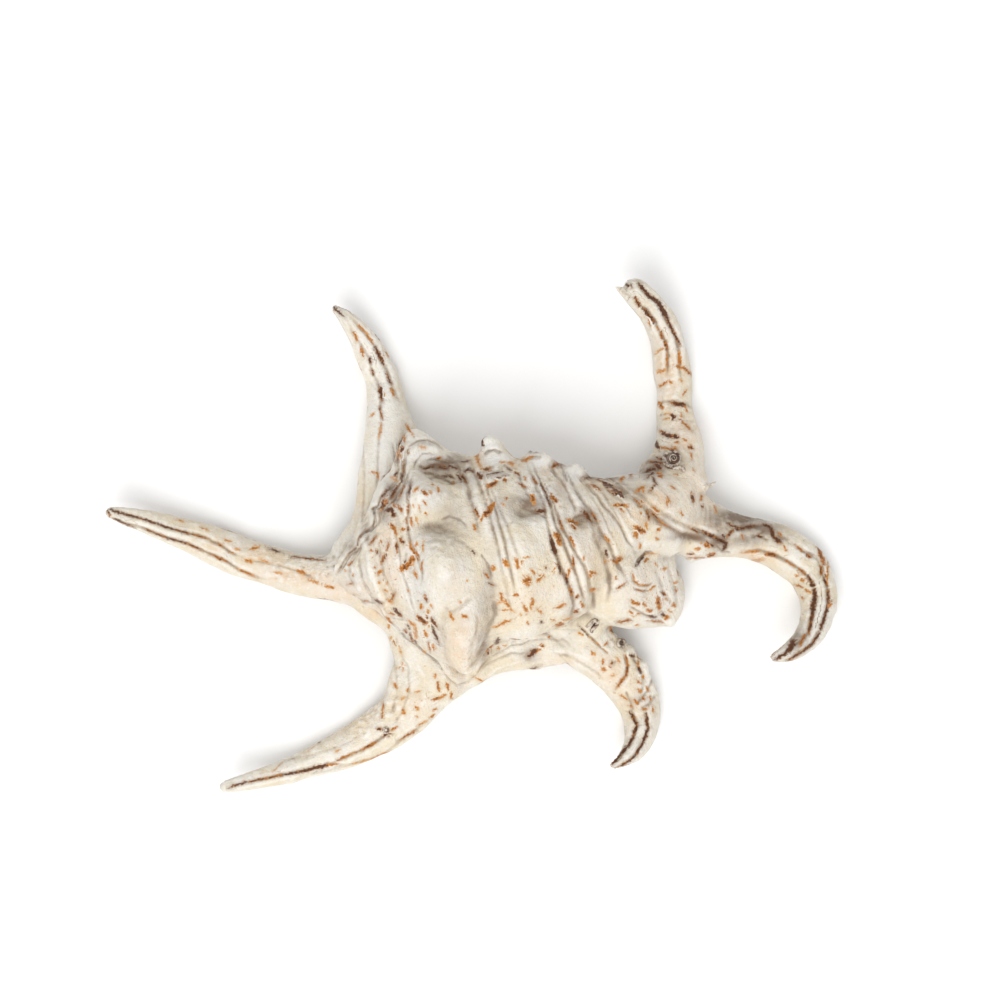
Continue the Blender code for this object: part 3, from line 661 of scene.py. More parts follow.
# %% [markdown]
# Along the back of each finger runs a round rib with a groove on each side. Near the tips the grooves
# are filled with dark brown, and growth marks cross the fingers here and there.
# %% Folds of the fingers
FINGER_FOLDS = (
    (0.5, 2, (110, 510), (124, 514), (141, 518), (158, 524), (172, 529), (192, 534), (206, 538), (220, 545),
     (232, 553), (246, 559)),
    (0.5, 2, (112, 518), (131, 526), (148, 530), (167, 538), (186, 543), (200, 549), (213, 555), (226, 561),
     (239, 570), (253, 576), (268, 581)),
    (0.25, 2, (246, 559), (262, 562), (280, 566), (300, 572), (318, 580)),
    (0.45, 2.2, (350, 316), (359, 327), (365, 332), (372, 342), (379, 353), (381, 361), (387, 371),
     (391, 382), (396, 395), (402, 406)),
    (0.4, 2.2, (347, 322), (354, 334), (361, 346), (370, 360), (372, 372), (378, 382), (381, 399), (381, 413),
     (381, 425), (379, 437)),
    (0.3, 2.2, (381, 425), (378, 450), (377, 470), (376, 490)),
    (0.25, 2, (363, 440), (363, 473), (363, 505), (362, 530)),
    (0.45, 1.8, (392, 442), (394, 455), (397, 472), (398, 480)),
    (-0.25, 2.4, (386, 430), (386, 455), (386, 480)),
    (0.45, 2.2, (231, 787), (246, 782), (267, 778), (282, 775), (298, 772), (315, 768), (327, 765),
     (338, 761), (354, 753), (362, 750), (376, 742), (388, 734), (398, 726)),
    (0.3, 2, (300, 776), (330, 770), (356, 763), (371, 759), (387, 752), (401, 740), (415, 730), (426, 722),
     (436, 713)),
    (0.2, 2, (274, 771), (281, 764), (293, 758), (307, 756), (330, 750), (350, 741), (366, 732)),
    (0.5, 2, (628, 706), (637, 724), (633, 736), (629, 745), (620, 755), (611, 764)),
    (0.5, 2, (645, 706), (648, 729), (643, 742), (636, 755), (628, 762), (618, 768)),
    (0.6, 2.4, (738, 553), (759, 551), (774, 555), (787, 561), (794, 566), (805, 574), (812, 582), (815, 599),
     (813, 611), (809, 633), (804, 637), (794, 645), (788, 652), (776, 659)),
    (0.6, 2.4, (786, 542), (796, 546), (809, 553), (818, 558), (822, 566), (824, 577), (827, 586), (828, 597),
     (827, 608), (825, 616), (821, 629), (812, 644), (801, 652), (789, 660), (780, 662)),
    (0.8, 2.4, (692, 528), (704, 532), (716, 538), (726, 543), (724, 550)),
    (0.6, 2.2, (726, 522), (738, 529), (748, 528), (753, 526), (765, 525), (770, 526), (774, 537),
     (781, 543)),
    (0.5, 2, (734, 529), (727, 537), (723, 542)),
    (-0.45, 3, (712, 532), (720, 536), (732, 536), (742, 534)),
    (0.4, 1.8, (716, 545), (722, 551), (731, 553)),
    (0.45, 1.8, (764, 530), (759, 535), (752, 538)),
    (0.4, 1.8, (776, 530), (781, 537), (790, 541)),
    (0.45, 1.8, (631, 655), (640, 668), (644, 682), (641, 696)),
    (0.4, 1.6, (652, 676), (648, 690), (640, 700), (634, 706)),
    (0.4, 1.6, (656, 694), (650, 704), (641, 708)),
    (-0.35, 2.2, (636, 660), (646, 674), (652, 688), (655, 700)),
    (0.3, 1.8, (625, 690), (629, 700), (634, 712)),
    (0.4, 2, (752, 535), (760, 537), (769, 541)),
    (0.6, 2.4, (637, 283), (647, 294), (658, 302), (664, 313), (668, 322), (675, 333), (679, 345), (680, 356),
     (680, 366), (681, 382)),
    (0.6, 2.4, (633, 296), (640, 305), (647, 311), (654, 319), (658, 328), (662, 336), (666, 345), (668, 356),
     (667, 369), (666, 379)),
    (0.35, 2.2, (655, 404), (664, 402), (673, 401), (684, 403), (695, 409)),
    (0.2, 2, (656, 417), (668, 414), (682, 416), (694, 424)),
    (0.2, 1.6, (706, 504), (706, 516), (704, 527)),
    (0.2, 1.6, (710, 504), (711, 516), (710, 526)),
)
ALL_FOLDS = (CORD_FOLDS, CORD_RIDGES, HUMP_FOLDS, SEAM_FOLDS, PLATE_FOLDS, FINGER_FOLDS)
print(len(FINGER_FOLDS), "folds on the fingers,", sum(len(folds) for folds in ALL_FOLDS), "in all")

# %% [markdown]
# By rule, the last turn has its cords on the far side too, told by the distance along the coiling axis.
# The fingers have fine ribs along them all the way round, told by the angle round their middle lines.
# %% Places on the last turn and on the limbs
FAR_CORDS = (36.5, 38.3, 40.5, 46.0, 48.2, 54.8, 56.5, 58.5, 60.4, 65.0, 67.0, 69.2, 71.6)
TURN_NEAR = 1.5
LIMB_STEPS = 140
LIMB_LEAST = 0.4
LIMB_OUTSIDE, LIMB_FADE = 1.45, 0.3


def on_whorl(points):
    """Distance along the axis, angle round it, and how surely the point is on the turns, 0 to 1."""
    from_tip = points - CENTRE_SHIFT - APEX
    a = np.clip(from_tip @ AXIS, 0.01, WHORL_STATIONS[-1][0] - 0.5)
    sideways, upwards = from_tip @ TO_LIP, from_tip @ AXIS_UP
    lip, far, top, bottom = whorl_reach(a)
    rise = upwards / np.where(upwards > 0, top, bottom)
    degrees = np.degrees(np.arctan2(rise, sideways / np.where(sideways > 0, lip, far)))
    expected = whorl_surface(a / WHORL_STATIONS[-1][0], np.radians(degrees)) - APEX
    gap = np.hypot(sideways, upwards) - np.hypot(expected @ TO_LIP, expected @ AXIS_UP)
    return a, degrees % 360, np.exp(-((gap / TURN_NEAR) ** 2))


def on_limb(points, stations):
    """Distance along a limb, angle round it, how surely the point is on it, and the way the limb runs."""
    share = np.linspace(0, 1, LIMB_STEPS)
    middle, across, up, where, length = limb_frame(stations, share)
    middle[:, :3] += CENTRE_SHIFT
    best = np.full(len(points), 1e9)
    which = np.zeros(len(points), int)
    for k in range(LIMB_STEPS):
        apart = ((points - middle[k, :3]) ** 2).sum(axis=1)
        closer = apart < best
        best[closer] = apart[closer]
        which[closer] = k
    off = points - middle[which, :3]
    x = (off * across[which]).sum(axis=1) / np.maximum(middle[which, 3], LIMB_LEAST)
    z = (off * up[which]).sum(axis=1) / np.maximum(middle[which, 4], LIMB_LEAST)
    surely = np.clip((LIMB_OUTSIDE - np.hypot(x, z)) / LIMB_FADE, 0, 1)
    forward = np.cross(up, across)[which]
    return where[which], np.degrees(np.arctan2(z, x)), surely, forward


print("the nose of the big hump is at", [c.round(1) for c in on_whorl(np.array([[-1.2, -34.0, 29.0]]))])

# %% [markdown]
# Now the relief is added up and the skin is pushed in along its normals. Heights are in millimetres, and
# a row of three is an amount, the size of its lumps and their seed. Points on the table stay on it. Last,
# a Decimate thins the faces to what a game or a viewer can carry. It thins the underside more.
# %% Press the relief into the skin
SHELL_TRIANGLES = 196000
SEEN_SHARE = 0.6
FOLD_WANDER = (0.9, 3.0, 11)
CORD_HEIGHT, CORD_WIDTH, CORD_WANDER = 0.35, 0.55, 0.4
RIBS_ROUND, RIB_HEIGHT, RIB_WANDER = 9, 0.09, 40
RING_HEIGHT, RING_SIZE = 0.06, 1.3
TOOTH_HEIGHT, TOOTH_LENGTH = 0.12, 1.7
BROAD_DENTS = ((0.34, 7.0, 16), (0.26, 3.0, 17))
PIT_COUNT, PIT_SEED = 320, 20
PIT_REACH, PIT_DEPTH = (0.25, 0.75), (0.06, 0.22)


def pits(points, normals):
    """Small round pits and bites, on the humps mostly."""
    rng = np.random.default_rng(PIT_SEED)
    on_top = np.flatnonzero(normals[:, 2] > 0.35)
    depth = np.zeros(len(points))
    for k in rng.choice(on_top, PIT_COUNT):
        reach = rng.uniform(*PIT_REACH)
        near = np.flatnonzero(np.abs(points - points[k]).max(axis=1) < 2.5 * reach)
        apart = ((points[near] - points[k]) ** 2).sum(axis=1)
        depth[near] += rng.uniform(*PIT_DEPTH) * np.exp(-apart / reach**2)
    return depth


def relief(points, normals):
    """How far each point is pushed in, in millimetres."""
    facing = faces_camera(normals)
    places = wandering(points, *FOLD_WANDER)
    a, degrees, turns = on_whorl(points)
    a = a + CORD_WANDER * lumps(points, 4.0, 13)
    cords = sum(np.exp(-(((a - cord) / CORD_WIDTH) ** 2)) for cord in FAR_CORDS)
    sunk = facing * sum(folded(places, folds) for folds in ALL_FOLDS)
    sunk -= (1 - facing) * turns * CORD_HEIGHT * cords * (normals[:, 1] > -0.2)
    sunk -= sum(height * area(places, *spot) for height, *spot in SWELLS)
    for stations in FINGERS:
        where, angle, surely, forward = on_limb(points, stations)
        ribs = np.cos(np.radians(angle * RIBS_ROUND + RIB_WANDER * lumps(points, 6.0, 14)))
        rings = lumps(np.stack([where, where * 0, where * 0], axis=1), RING_SIZE, 15)
        sunk += surely * (0.05 + RIB_HEIGHT * (1 - facing)) * ribs
        sunk += surely * RING_HEIGHT * rings
    where, angle, surely, forward = on_limb(points, MOUTH_SLOT)
    sunk += surely * (1 - facing) * TOOTH_HEIGHT * np.cos(where * 2 * math.pi / TOOTH_LENGTH)
    dents = sum(height * lumps(points, size, seed) for height, size, seed in BROAD_DENTS)
    worn = np.clip(normals[:, 1] + 0.4, 0.15, 1) * (0.45 + 0.55 * facing)
    rough = facing * sum(area(places, *spot) for spot in ROUGH_AREAS)
    sunk += (0.5 + 0.5 * facing) * dents + 0.19 * worn * lumps(points, 1.5, 18)
    sunk += (0.10 * worn + 0.18 * rough) * lumps(points, 0.9, 19) + 0.28 * rough * lumps(points, 1.6, 21)
    return sunk + pits(points, normals)


def thinned(thing, triangles):
    """Decimates to this many triangles, and keeps more of them where the photograph looks."""
    finish_with(thing, "TRIANGULATE")
    keep = thing.vertex_groups.new(name="seen")
    facing = faces_camera(normals_of(thing))
    for weight, chosen in ((1.0, facing > 0.5), (0.0, facing <= 0.5)):
        keep.add(np.flatnonzero(chosen).tolist(), weight, "REPLACE")
    share = min(1.0, triangles / len(thing.data.polygons))
    finish_with(
        thing, "DECIMATE", ratio=share, vertex_group="seen", invert_vertex_group=True,
        vertex_group_factor=SEEN_SHARE,
    )
    thing.vertex_groups.clear()


points, normals = points_of(shell), normals_of(shell)
points -= relief(points, normals)[:, None] * normals
points[:, 2] = np.maximum(points[:, 2], cad_box[0][2] / MM)
move_points(shell, points)
print("before thinning", len(shell.data.polygons), "faces")
thinned(shell, SHELL_TRIANGLES)
bpy.ops.object.shade_smooth()
print("the skin has", len(shell.data.polygons), "triangles")

# %% [markdown]
# The colour marks lie in the outermost layer of the shell: rust-brown flecks with dark hearts, longer
# along the cords than across. Each is a short stroke: the pixel where it starts, how far it runs across
# and down, its width in pixels and its darkness from 0, pale orange, to 1, nearly black. They are placed
# one by one where the photograph has them, because they are what a person would know this shell by.
# %% Flecks of the spire and the big hump
SPIRE_FLECKS = (
    (387, 510, 4, -1, 4, 0.9), (391, 509, 3, 6, 4, 0.8), (393, 504, 1, 2, 2, 0.6), (398, 506, 4, 5, 3, 0.6),
    (390, 525, 4, 3, 3.4, 0.6), (394, 528, 2, 6, 2.8, 0.4), (401, 530, 4, -1, 2.8, 0.4),
    (400, 539, 3, 4, 3, 0.7), (410, 543, 1, 6, 2.4, 0.4), (413, 549, 5, 10, 3.5, 0.5),
    (396, 545, 1, 7, 2.6, 0.7), (389, 543, -2, 7, 2.2, 0.6), (385, 555, -3, 7, 3, 0.7),
    (371, 543, 5, -6, 2, 0.7), (381, 541, 0, 1, 1.6, 0.4), (377, 551, 0, 2, 2.2, 0.8),
    (371, 550, 1, 1, 2, 0.5), (417, 543, 0, 2, 2.2, 0.3), (423, 543, 0, 8, 2, 0.3),
    (411, 519, 1, 6, 2.6, 0.5), (416, 518, 2, 6, 1.8, 0.2), (406, 518, 1, 6, 1.6, 0.6),
    (408, 505, 0, 8, 2, 0.7), (408, 527, 0, 4, 1.6, 0.8), (414, 491, 4, -3, 3, 0.3), (423, 491, 4, 3, 3, 0.6),
    (430, 492, 1, 1, 3, 0.1), (438, 488, 1, 4, 2.6, 0.3), (432, 484, 1, 1, 1.8, 0.4),
    (424, 502, 2, 3, 2.4, 0.4), (413, 505, 1, 2, 1.4, 0.2), (419, 506, 1, 4, 1.6, 0.2),
    (426, 514, 1, 1, 2, 0.3), (396, 487, -4, 10, 2.4, 0.9), (404, 486, -4, 11, 2, 0.75),
    (411, 485, -2, 9, 2.4, 0.9), (387, 490, -5, 7, 2, 0.9), (402, 474, 0, 7, 1.6, 0.9),
    (404, 462, 0, 10, 1.4, 0.8), (424, 469, 8, -2, 2, 0.9), (440, 466, 6, 2, 2.4, 0.9),
    (437, 459, 3, -1, 2, 0.6), (446, 476, 4, 1, 2.5, 0.9), (450, 466, 7, 3, 2, 0.9),
    (403, 569, 6, -5, 6.5, 0.45), (408, 565, 5, -7, 5.5, 0.35), (405, 566, 1, -5, 2.6, 0.95),
    (415, 552, 3, 6, 3.5, 0.5), (422, 562, 0, 8, 1.8, 0.4), (415, 573, 2, 4, 3.4, 0.4),
    (375, 567, 0, 1, 2.2, 0.4), (378, 574, 3, -3, 3, 0.4), (379, 581, 0, 2, 2.2, 0.4),
    (387, 582, 0, 1, 1.8, 0.2), (385, 590, 2, 1, 2, 0.3), (394, 594, -2, 5, 2.4, 0.7),
    (389, 600, 3, 2, 2.4, 0.4), (349, 565, 3, -3, 1.8, 0.6), (353, 575, 0, 1, 1.8, 0.4),
    (349, 584, 3, -1, 1.6, 0.6), (345, 570, 1, 1, 1.4, 0.4), (364, 601, 3, 0, 1.6, 0.7),
    (375, 600, 6, 3, 2.4, 0.9), (395, 610, 6, 6, 3.2, 0.85), (390, 613, 4, 1, 2, 0.6),
    (387, 618, 4, 4, 2.8, 0.6), (389, 625, 0, 2, 2.6, 0.3), (394, 641, 2, 4, 2.8, 0.5),
    (391, 637, 0, 2, 2.4, 0.2), (405, 630, 1, 2, 2.6, 0.7), (408, 625, 1, 3, 1.8, 0.9),
    (410, 634, 2, 6, 2.4, 0.8), (415, 640, 1, 2, 2, 0.9), (409, 621, 5, 4, 3, 0.3),
    (415, 627, 1, 11, 4, 0.15), (418, 617, 8, 6, 4, 0.75), (425, 632, 2, 4, 3, 0.4),
    (428, 625, 1, 2, 1.5, 0.2), (432, 626, 6, 15, 2, 0.9), (432, 619, 5, 8, 2.8, 0.8),
    (425, 596, 2, 5, 2.4, 0.8), (431, 605, 1, 2, 1.8, 0.3), (421, 605, 0, 3, 3.2, 0.4),
    (428, 610, 0, 4, 1.8, 0.3), (408, 590, 0, 2, 1.6, 0.4), (427, 616, 0, 3, 2, 0.7),
    (433, 646, 1, 3, 3, 0.4), (429, 643, 1, 7, 1.8, 0.6), (424, 651, 1, 1, 1.8, 0.4),
    (450, 614, 3, 5, 3, 0.3), (463, 616, 4, 1, 3.6, 0.35), (466, 580, 1, 1, 2, 0.15),
    (472, 551, 2, 2, 1.4, 0.9), (459, 602, 1, 0, 2, 0.5), (476, 678, 10, 5, 1.4, 0.3),
    (421, 447, 4, 0, 4, 0.05),
)
print(len(SPIRE_FLECKS), "flecks on the spire and the big hump")

# %% [markdown]
# On the last turn the flecks sit mostly on the cords, because the same edge of the animal made the cords
# and their colour.
# %% Flecks of the cords and the lower humps
CORD_FLECKS = (
    (466, 471, 3, -2, 2.4, 0.9), (469, 469, 3, 2, 2.2, 0.9), (463, 462, 6, -1, 1.6, 0.9),
    (462, 476, 4, 6, 2.6, 0.8), (458, 475, 3, 5, 2, 0.9), (442, 465, 3, 2, 2.4, 0.8),
    (446, 475, 3, 2, 2.4, 0.7), (479, 475, 2, 3, 4.6, 0.8), (484, 470, 6, -1, 3.4, 0.7),
    (489, 486, 7, -4, 4.4, 0.6), (504, 479, 2, 2, 3.4, 0.7), (520, 484, 5, 3, 2.2, 0.7),
    (525, 477, 0, 2, 2.4, 0.4), (516, 473, 2, 1, 3, 0.8), (532, 496, 2, 7, 4.2, 0.35),
    (537, 511, 7, 0, 3.4, 0.9), (533, 479, 4, 4, 2.4, 0.7), (552, 496, 4, 5, 4.4, 0.65),
    (486, 514, 4, -5, 6.5, 0.45), (489, 511, 4, -7, 5, 0.35), (486, 512, 1, -3, 2.4, 0.9),
    (475, 509, 3, 7, 3, 0.7), (481, 521, 2, -6, 2.4, 0.3), (473, 524, 2, 5, 2.8, 0.35),
    (506, 498, 0, 1, 2, 0.5), (503, 504, 1, 1, 2, 0.2), (500, 462, 5, 0, 2, 0.2), (551, 538, 4, 15, 4, 0.9),
    (556, 535, 4, 8, 5.6, 0.45), (560, 521, 2, 7, 2, 0.7), (568, 520, 9, 3, 4, 0.6),
    (572, 525, 2, 3, 3.4, 0.6), (570, 536, 4, 10, 2.4, 0.5), (573, 558, 1, 7, 3, 0.7),
    (584, 557, 0, 3, 2.4, 0.2), (559, 565, 1, 8, 2.4, 0.9), (546, 567, 0, 2, 2, 0.5),
    (553, 569, 1, 3, 2.6, 0.2), (569, 570, -1, 6, 2.4, 0.4), (584, 512, 6, 8, 3.4, 0.9),
    (593, 515, 3, 5, 2.4, 0.7), (593, 485, 6, 5, 2.8, 0.7), (615, 505, 12, 1, 3.4, 0.5),
    (620, 507, 3, 4, 2, 0.5), (605, 537, 4, 4, 2.4, 0.4), (606, 551, 1, 5, 2.4, 0.9),
    (613, 560, 1, 2, 3, 0.7), (616, 562, 5, -4, 4.2, 0.6), (619, 556, 1, 1, 2, 0.2),
    (493, 566, 0, 3, 4, 0.25), (505, 561, 3, 5, 4.4, 0.3), (516, 560, 2, 7, 4.4, 0.4),
    (522, 560, 0, 4, 2.2, 0.4), (524, 558, 4, -1, 1.8, 0.2), (531, 569, 3, 5, 2.4, 0.3),
    (524, 581, 5, -1, 5, 0.4), (528, 577, 0, 7, 4, 0.45), (538, 580, 5, -4, 4, 0.3),
    (546, 567, 0, 2, 2.2, 0.7), (553, 571, 2, -3, 2.8, 0.3), (486, 574, 3, 4, 2.2, 0.6),
    (489, 583, 4, 2, 1.3, 0.9), (501, 594, 1, 7, 3, 0.4), (498, 603, 5, -1, 1.5, 0.2),
    (505, 601, 4, 5, 3, 0.4), (515, 595, 2, 0, 3.2, 0.4), (533, 599, 0, 3, 3, 0.4),
    (532, 604, -1, 4, 2.8, 0.4), (524, 606, 3, 5, 3.4, 0.4), (538, 610, 4, 3, 2.4, 0.4),
    (520, 614, 1, 1, 2, 0.2), (503, 610, 7, -1, 1.6, 0.3), (510, 609, 4, 3, 1.6, 0.3),
    (500, 624, 10, -3, 3.4, 0.4), (494, 627, 6, -2, 2, 0.3), (528, 623, 1, 1, 2, 0.4),
    (541, 622, 1, 0, 1.8, 0.9), (552, 620, 2, 0, 2.2, 0.4), (557, 608, 7, -3, 2.8, 0.5),
    (557, 625, 5, -1, 3.8, 0.6), (563, 620, 8, -2, 1.8, 0.25), (497, 642, 1, -2, 3.6, 1),
    (498, 648, 1, 1, 1.8, 0.6), (504, 646, 2, 0, 1.6, 0.2), (540, 577, 2, -1, 4, 0.2),
    (566, 575, 1, 7, 2.4, 0.9), (570, 587, 2, 7, 3, 0.7), (576, 598, 2, -2, 3, 0.7), (582, 604, 1, 2, 4, 0.4),
    (575, 612, 2, -1, 3.4, 0.7), (549, 637, 1, 0, 2, 0.6), (590, 572, 5, 1, 3.4, 0.4),
    (590, 574, 1, 3, 2.6, 0.4), (592, 590, 2, -1, 3.8, 0.3), (604, 561, 1, 1, 2, 0.2),
    (595, 487, 4, 4, 2, 0.5), (617, 589, 7, -5, 2, 0.7), (616, 578, 0, 1, 1.6, 0.5),
    (510, 463, 3, 1, 4, 0.25), (475, 451, 5, 15, 3.6, 0.2), (523, 461, 9, -4, 3.4, 0.4),
    (553, 467, 7, -6, 3.4, 0.7), (560, 461, 8, 3, 2.6, 0.5), (522, 453, 7, -6, 3.2, 0.6),
    (529, 447, 8, 2, 2.6, 0.7), (490, 474, 10, -2, 1.2, 0.9), (497, 478, 9, -2, 1.4, 0.9),
    (505, 466, 6, 4, 1.2, 0.9), (540, 484, 5, 8, 1.2, 0.9), (546, 494, 3, 9, 1.2, 0.9),
    (474, 452, 4, -5, 2, 0.8), (586, 478, 26, -4, 2.6, 0.9),
)
print(len(CORD_FLECKS), "flecks on the cords")

# %% [markdown]
# The canal's back, the lobe and the lip's plate are newer growth, with smaller flecks further apart, and
# thin dark lines where one layer ends on another.
# %% Flecks of the canal's back, the lobe and the plate
CANAL_FLECKS = (
    (621, 480, 3, -5, 3.4, 0.4), (630, 473, 1, 2, 3.2, 0.7), (637, 491, 7, -4, 3.2, 0.4),
    (641, 501, 1, 1, 3, 0.4), (652, 476, 4, 8, 1.8, 0.9), (656, 484, -5, 6, 1.8, 0.8),
    (659, 475, 2, 1, 3.8, 0.5), (671, 486, 3, 2, 1.6, 0.5), (676, 475, 1, 0, 2, 0.3),
    (654, 508, 4, 3, 3.4, 0.5), (668, 498, 2, 4, 1.6, 0.4), (667, 500, 0, 6, 1.6, 0.4),
    (647, 512, 2, 7, 2.8, 0.7), (640, 512, 1, 1, 2, 0.4), (646, 524, 1, 4, 3.2, 0.4),
    (636, 528, 7, 3, 6, 0.45), (636, 533, 0, 3, 4.4, 0.3), (657, 531, 3, -2, 2.8, 0.4),
    (657, 539, 1, 0, 2.2, 0.5), (640, 545, 0, 3, 2.6, 0.3), (637, 565, 8, -11, 1.9, 1),
    (645, 554, 11, 0, 1.2, 0.3), (645, 561, 2, -2, 3.2, 0.4), (664, 569, 2, -1, 3.4, 0.2),
    (678, 560, 1, 1, 2.4, 0.2), (692, 495, 1, 6, 3.2, 0.8), (702, 496, -1, 4, 3, 0.4),
    (702, 505, 0, 3, 2.4, 0.7), (711, 494, 2, 6, 1.6, 0.6), (715, 506, 1, 6, 1.6, 0.4),
    (696, 549, 3, 0, 3.6, 0.2), (704, 545, 5, 1, 3.6, 0.45), (690, 554, 3, 0, 2, 0.7),
    (708, 556, 6, -2, 3.6, 0.6), (690, 558, 14, 0, 1.5, 0.6), (681, 513, 1, 2, 2.2, 0.4),
    (642, 489, 1, 2, 2, 0.4), (651, 512, 8, 8, 1.8, 0.8), (635, 500, 6, 6, 1.8, 0.7),
    (659, 521, 9, 6, 1.6, 0.5), (633, 575, 1, 6, 1.5, 0.4), (634, 581, 5, 4, 1.5, 0.4),
    (639, 585, 9, 0, 1.6, 0.4), (638, 590, 6, 1, 1.5, 0.6), (649, 590, 5, -3, 2, 0.3),
    (632, 602, 6, 2, 4, 0.4), (644, 604, 2, 2, 2.8, 0.4), (648, 610, 3, 1, 3, 0.5),
    (650, 616, 5, 1, 2.4, 0.9), (658, 599, 1, 9, 5, 0.45), (663, 593, 2, 2, 3, 0.7),
    (675, 583, 2, -1, 2.4, 0.2), (676, 588, 0, 4, 2.4, 0.6), (673, 604, 2, 2, 3, 0.4),
    (662, 614, 2, 2, 3, 0.9), (665, 618, 2, -1, 3.6, 0.4), (651, 621, 11, 1, 1.8, 0.6),
    (630, 612, 2, 2, 2.8, 0.3), (638, 614, 2, 0, 2, 0.4), (619, 622, 11, -2, 2.6, 0.7),
    (611, 629, 2, 2, 3.6, 0.6), (636, 625, 2, 0, 1.6, 0.3), (682, 573, 2, -1, 1.8, 0.4),
    (665, 596, 2, 4, 1.6, 0.3), (621, 636, -1, 4, 1.6, 0.9), (603, 662, 0, 2, 2.4, 0.5),
    (611, 665, 1, -3, 2.6, 0.7), (603, 669, 2, 1, 3.6, 0.25), (612, 676, 2, -1, 1.6, 0.2),
    (592, 653, 2, 1, 3.2, 0.25), (618, 659, 2, 3, 2.6, 0.2), (625, 654, 3, 12, 2.2, 0.6),
    (628, 666, -2, 9, 2.4, 0.7), (626, 675, -8, 11, 2.6, 0.6), (630, 655, 5, 2, 2.4, 0.9),
    (638, 660, 0, 7, 2, 0.4), (638, 667, 3, 6, 2, 0.9), (643, 676, 0, 1, 2.8, 0.3),
    (581, 628, 7, 8, 1.2, 0.9), (588, 636, 15, 13, 1.1, 0.4), (579, 633, 4, 2, 2, 0.3),
    (608, 642, -4, 4, 1.8, 0.3), (541, 645, 2, 1, 3.4, 0.5), (529, 656, 6, -6, 5, 0.85),
    (536, 652, 5, -3, 2.4, 0.4), (531, 669, 6, -2, 1.6, 0.9), (483, 684, 3, -1, 2, 0.8),
    (506, 676, 2, 0, 2.4, 0.15), (636, 657, 4, 2, 1.5, 0.7), (631, 614, 2, 2, 1.6, 0.3),
    (655, 563, 2, 3, 1.4, 0.3), (668, 610, 3, 2, 1.6, 0.3),
)
print(len(CANAL_FLECKS), "flecks on the canal's back and the lobe")

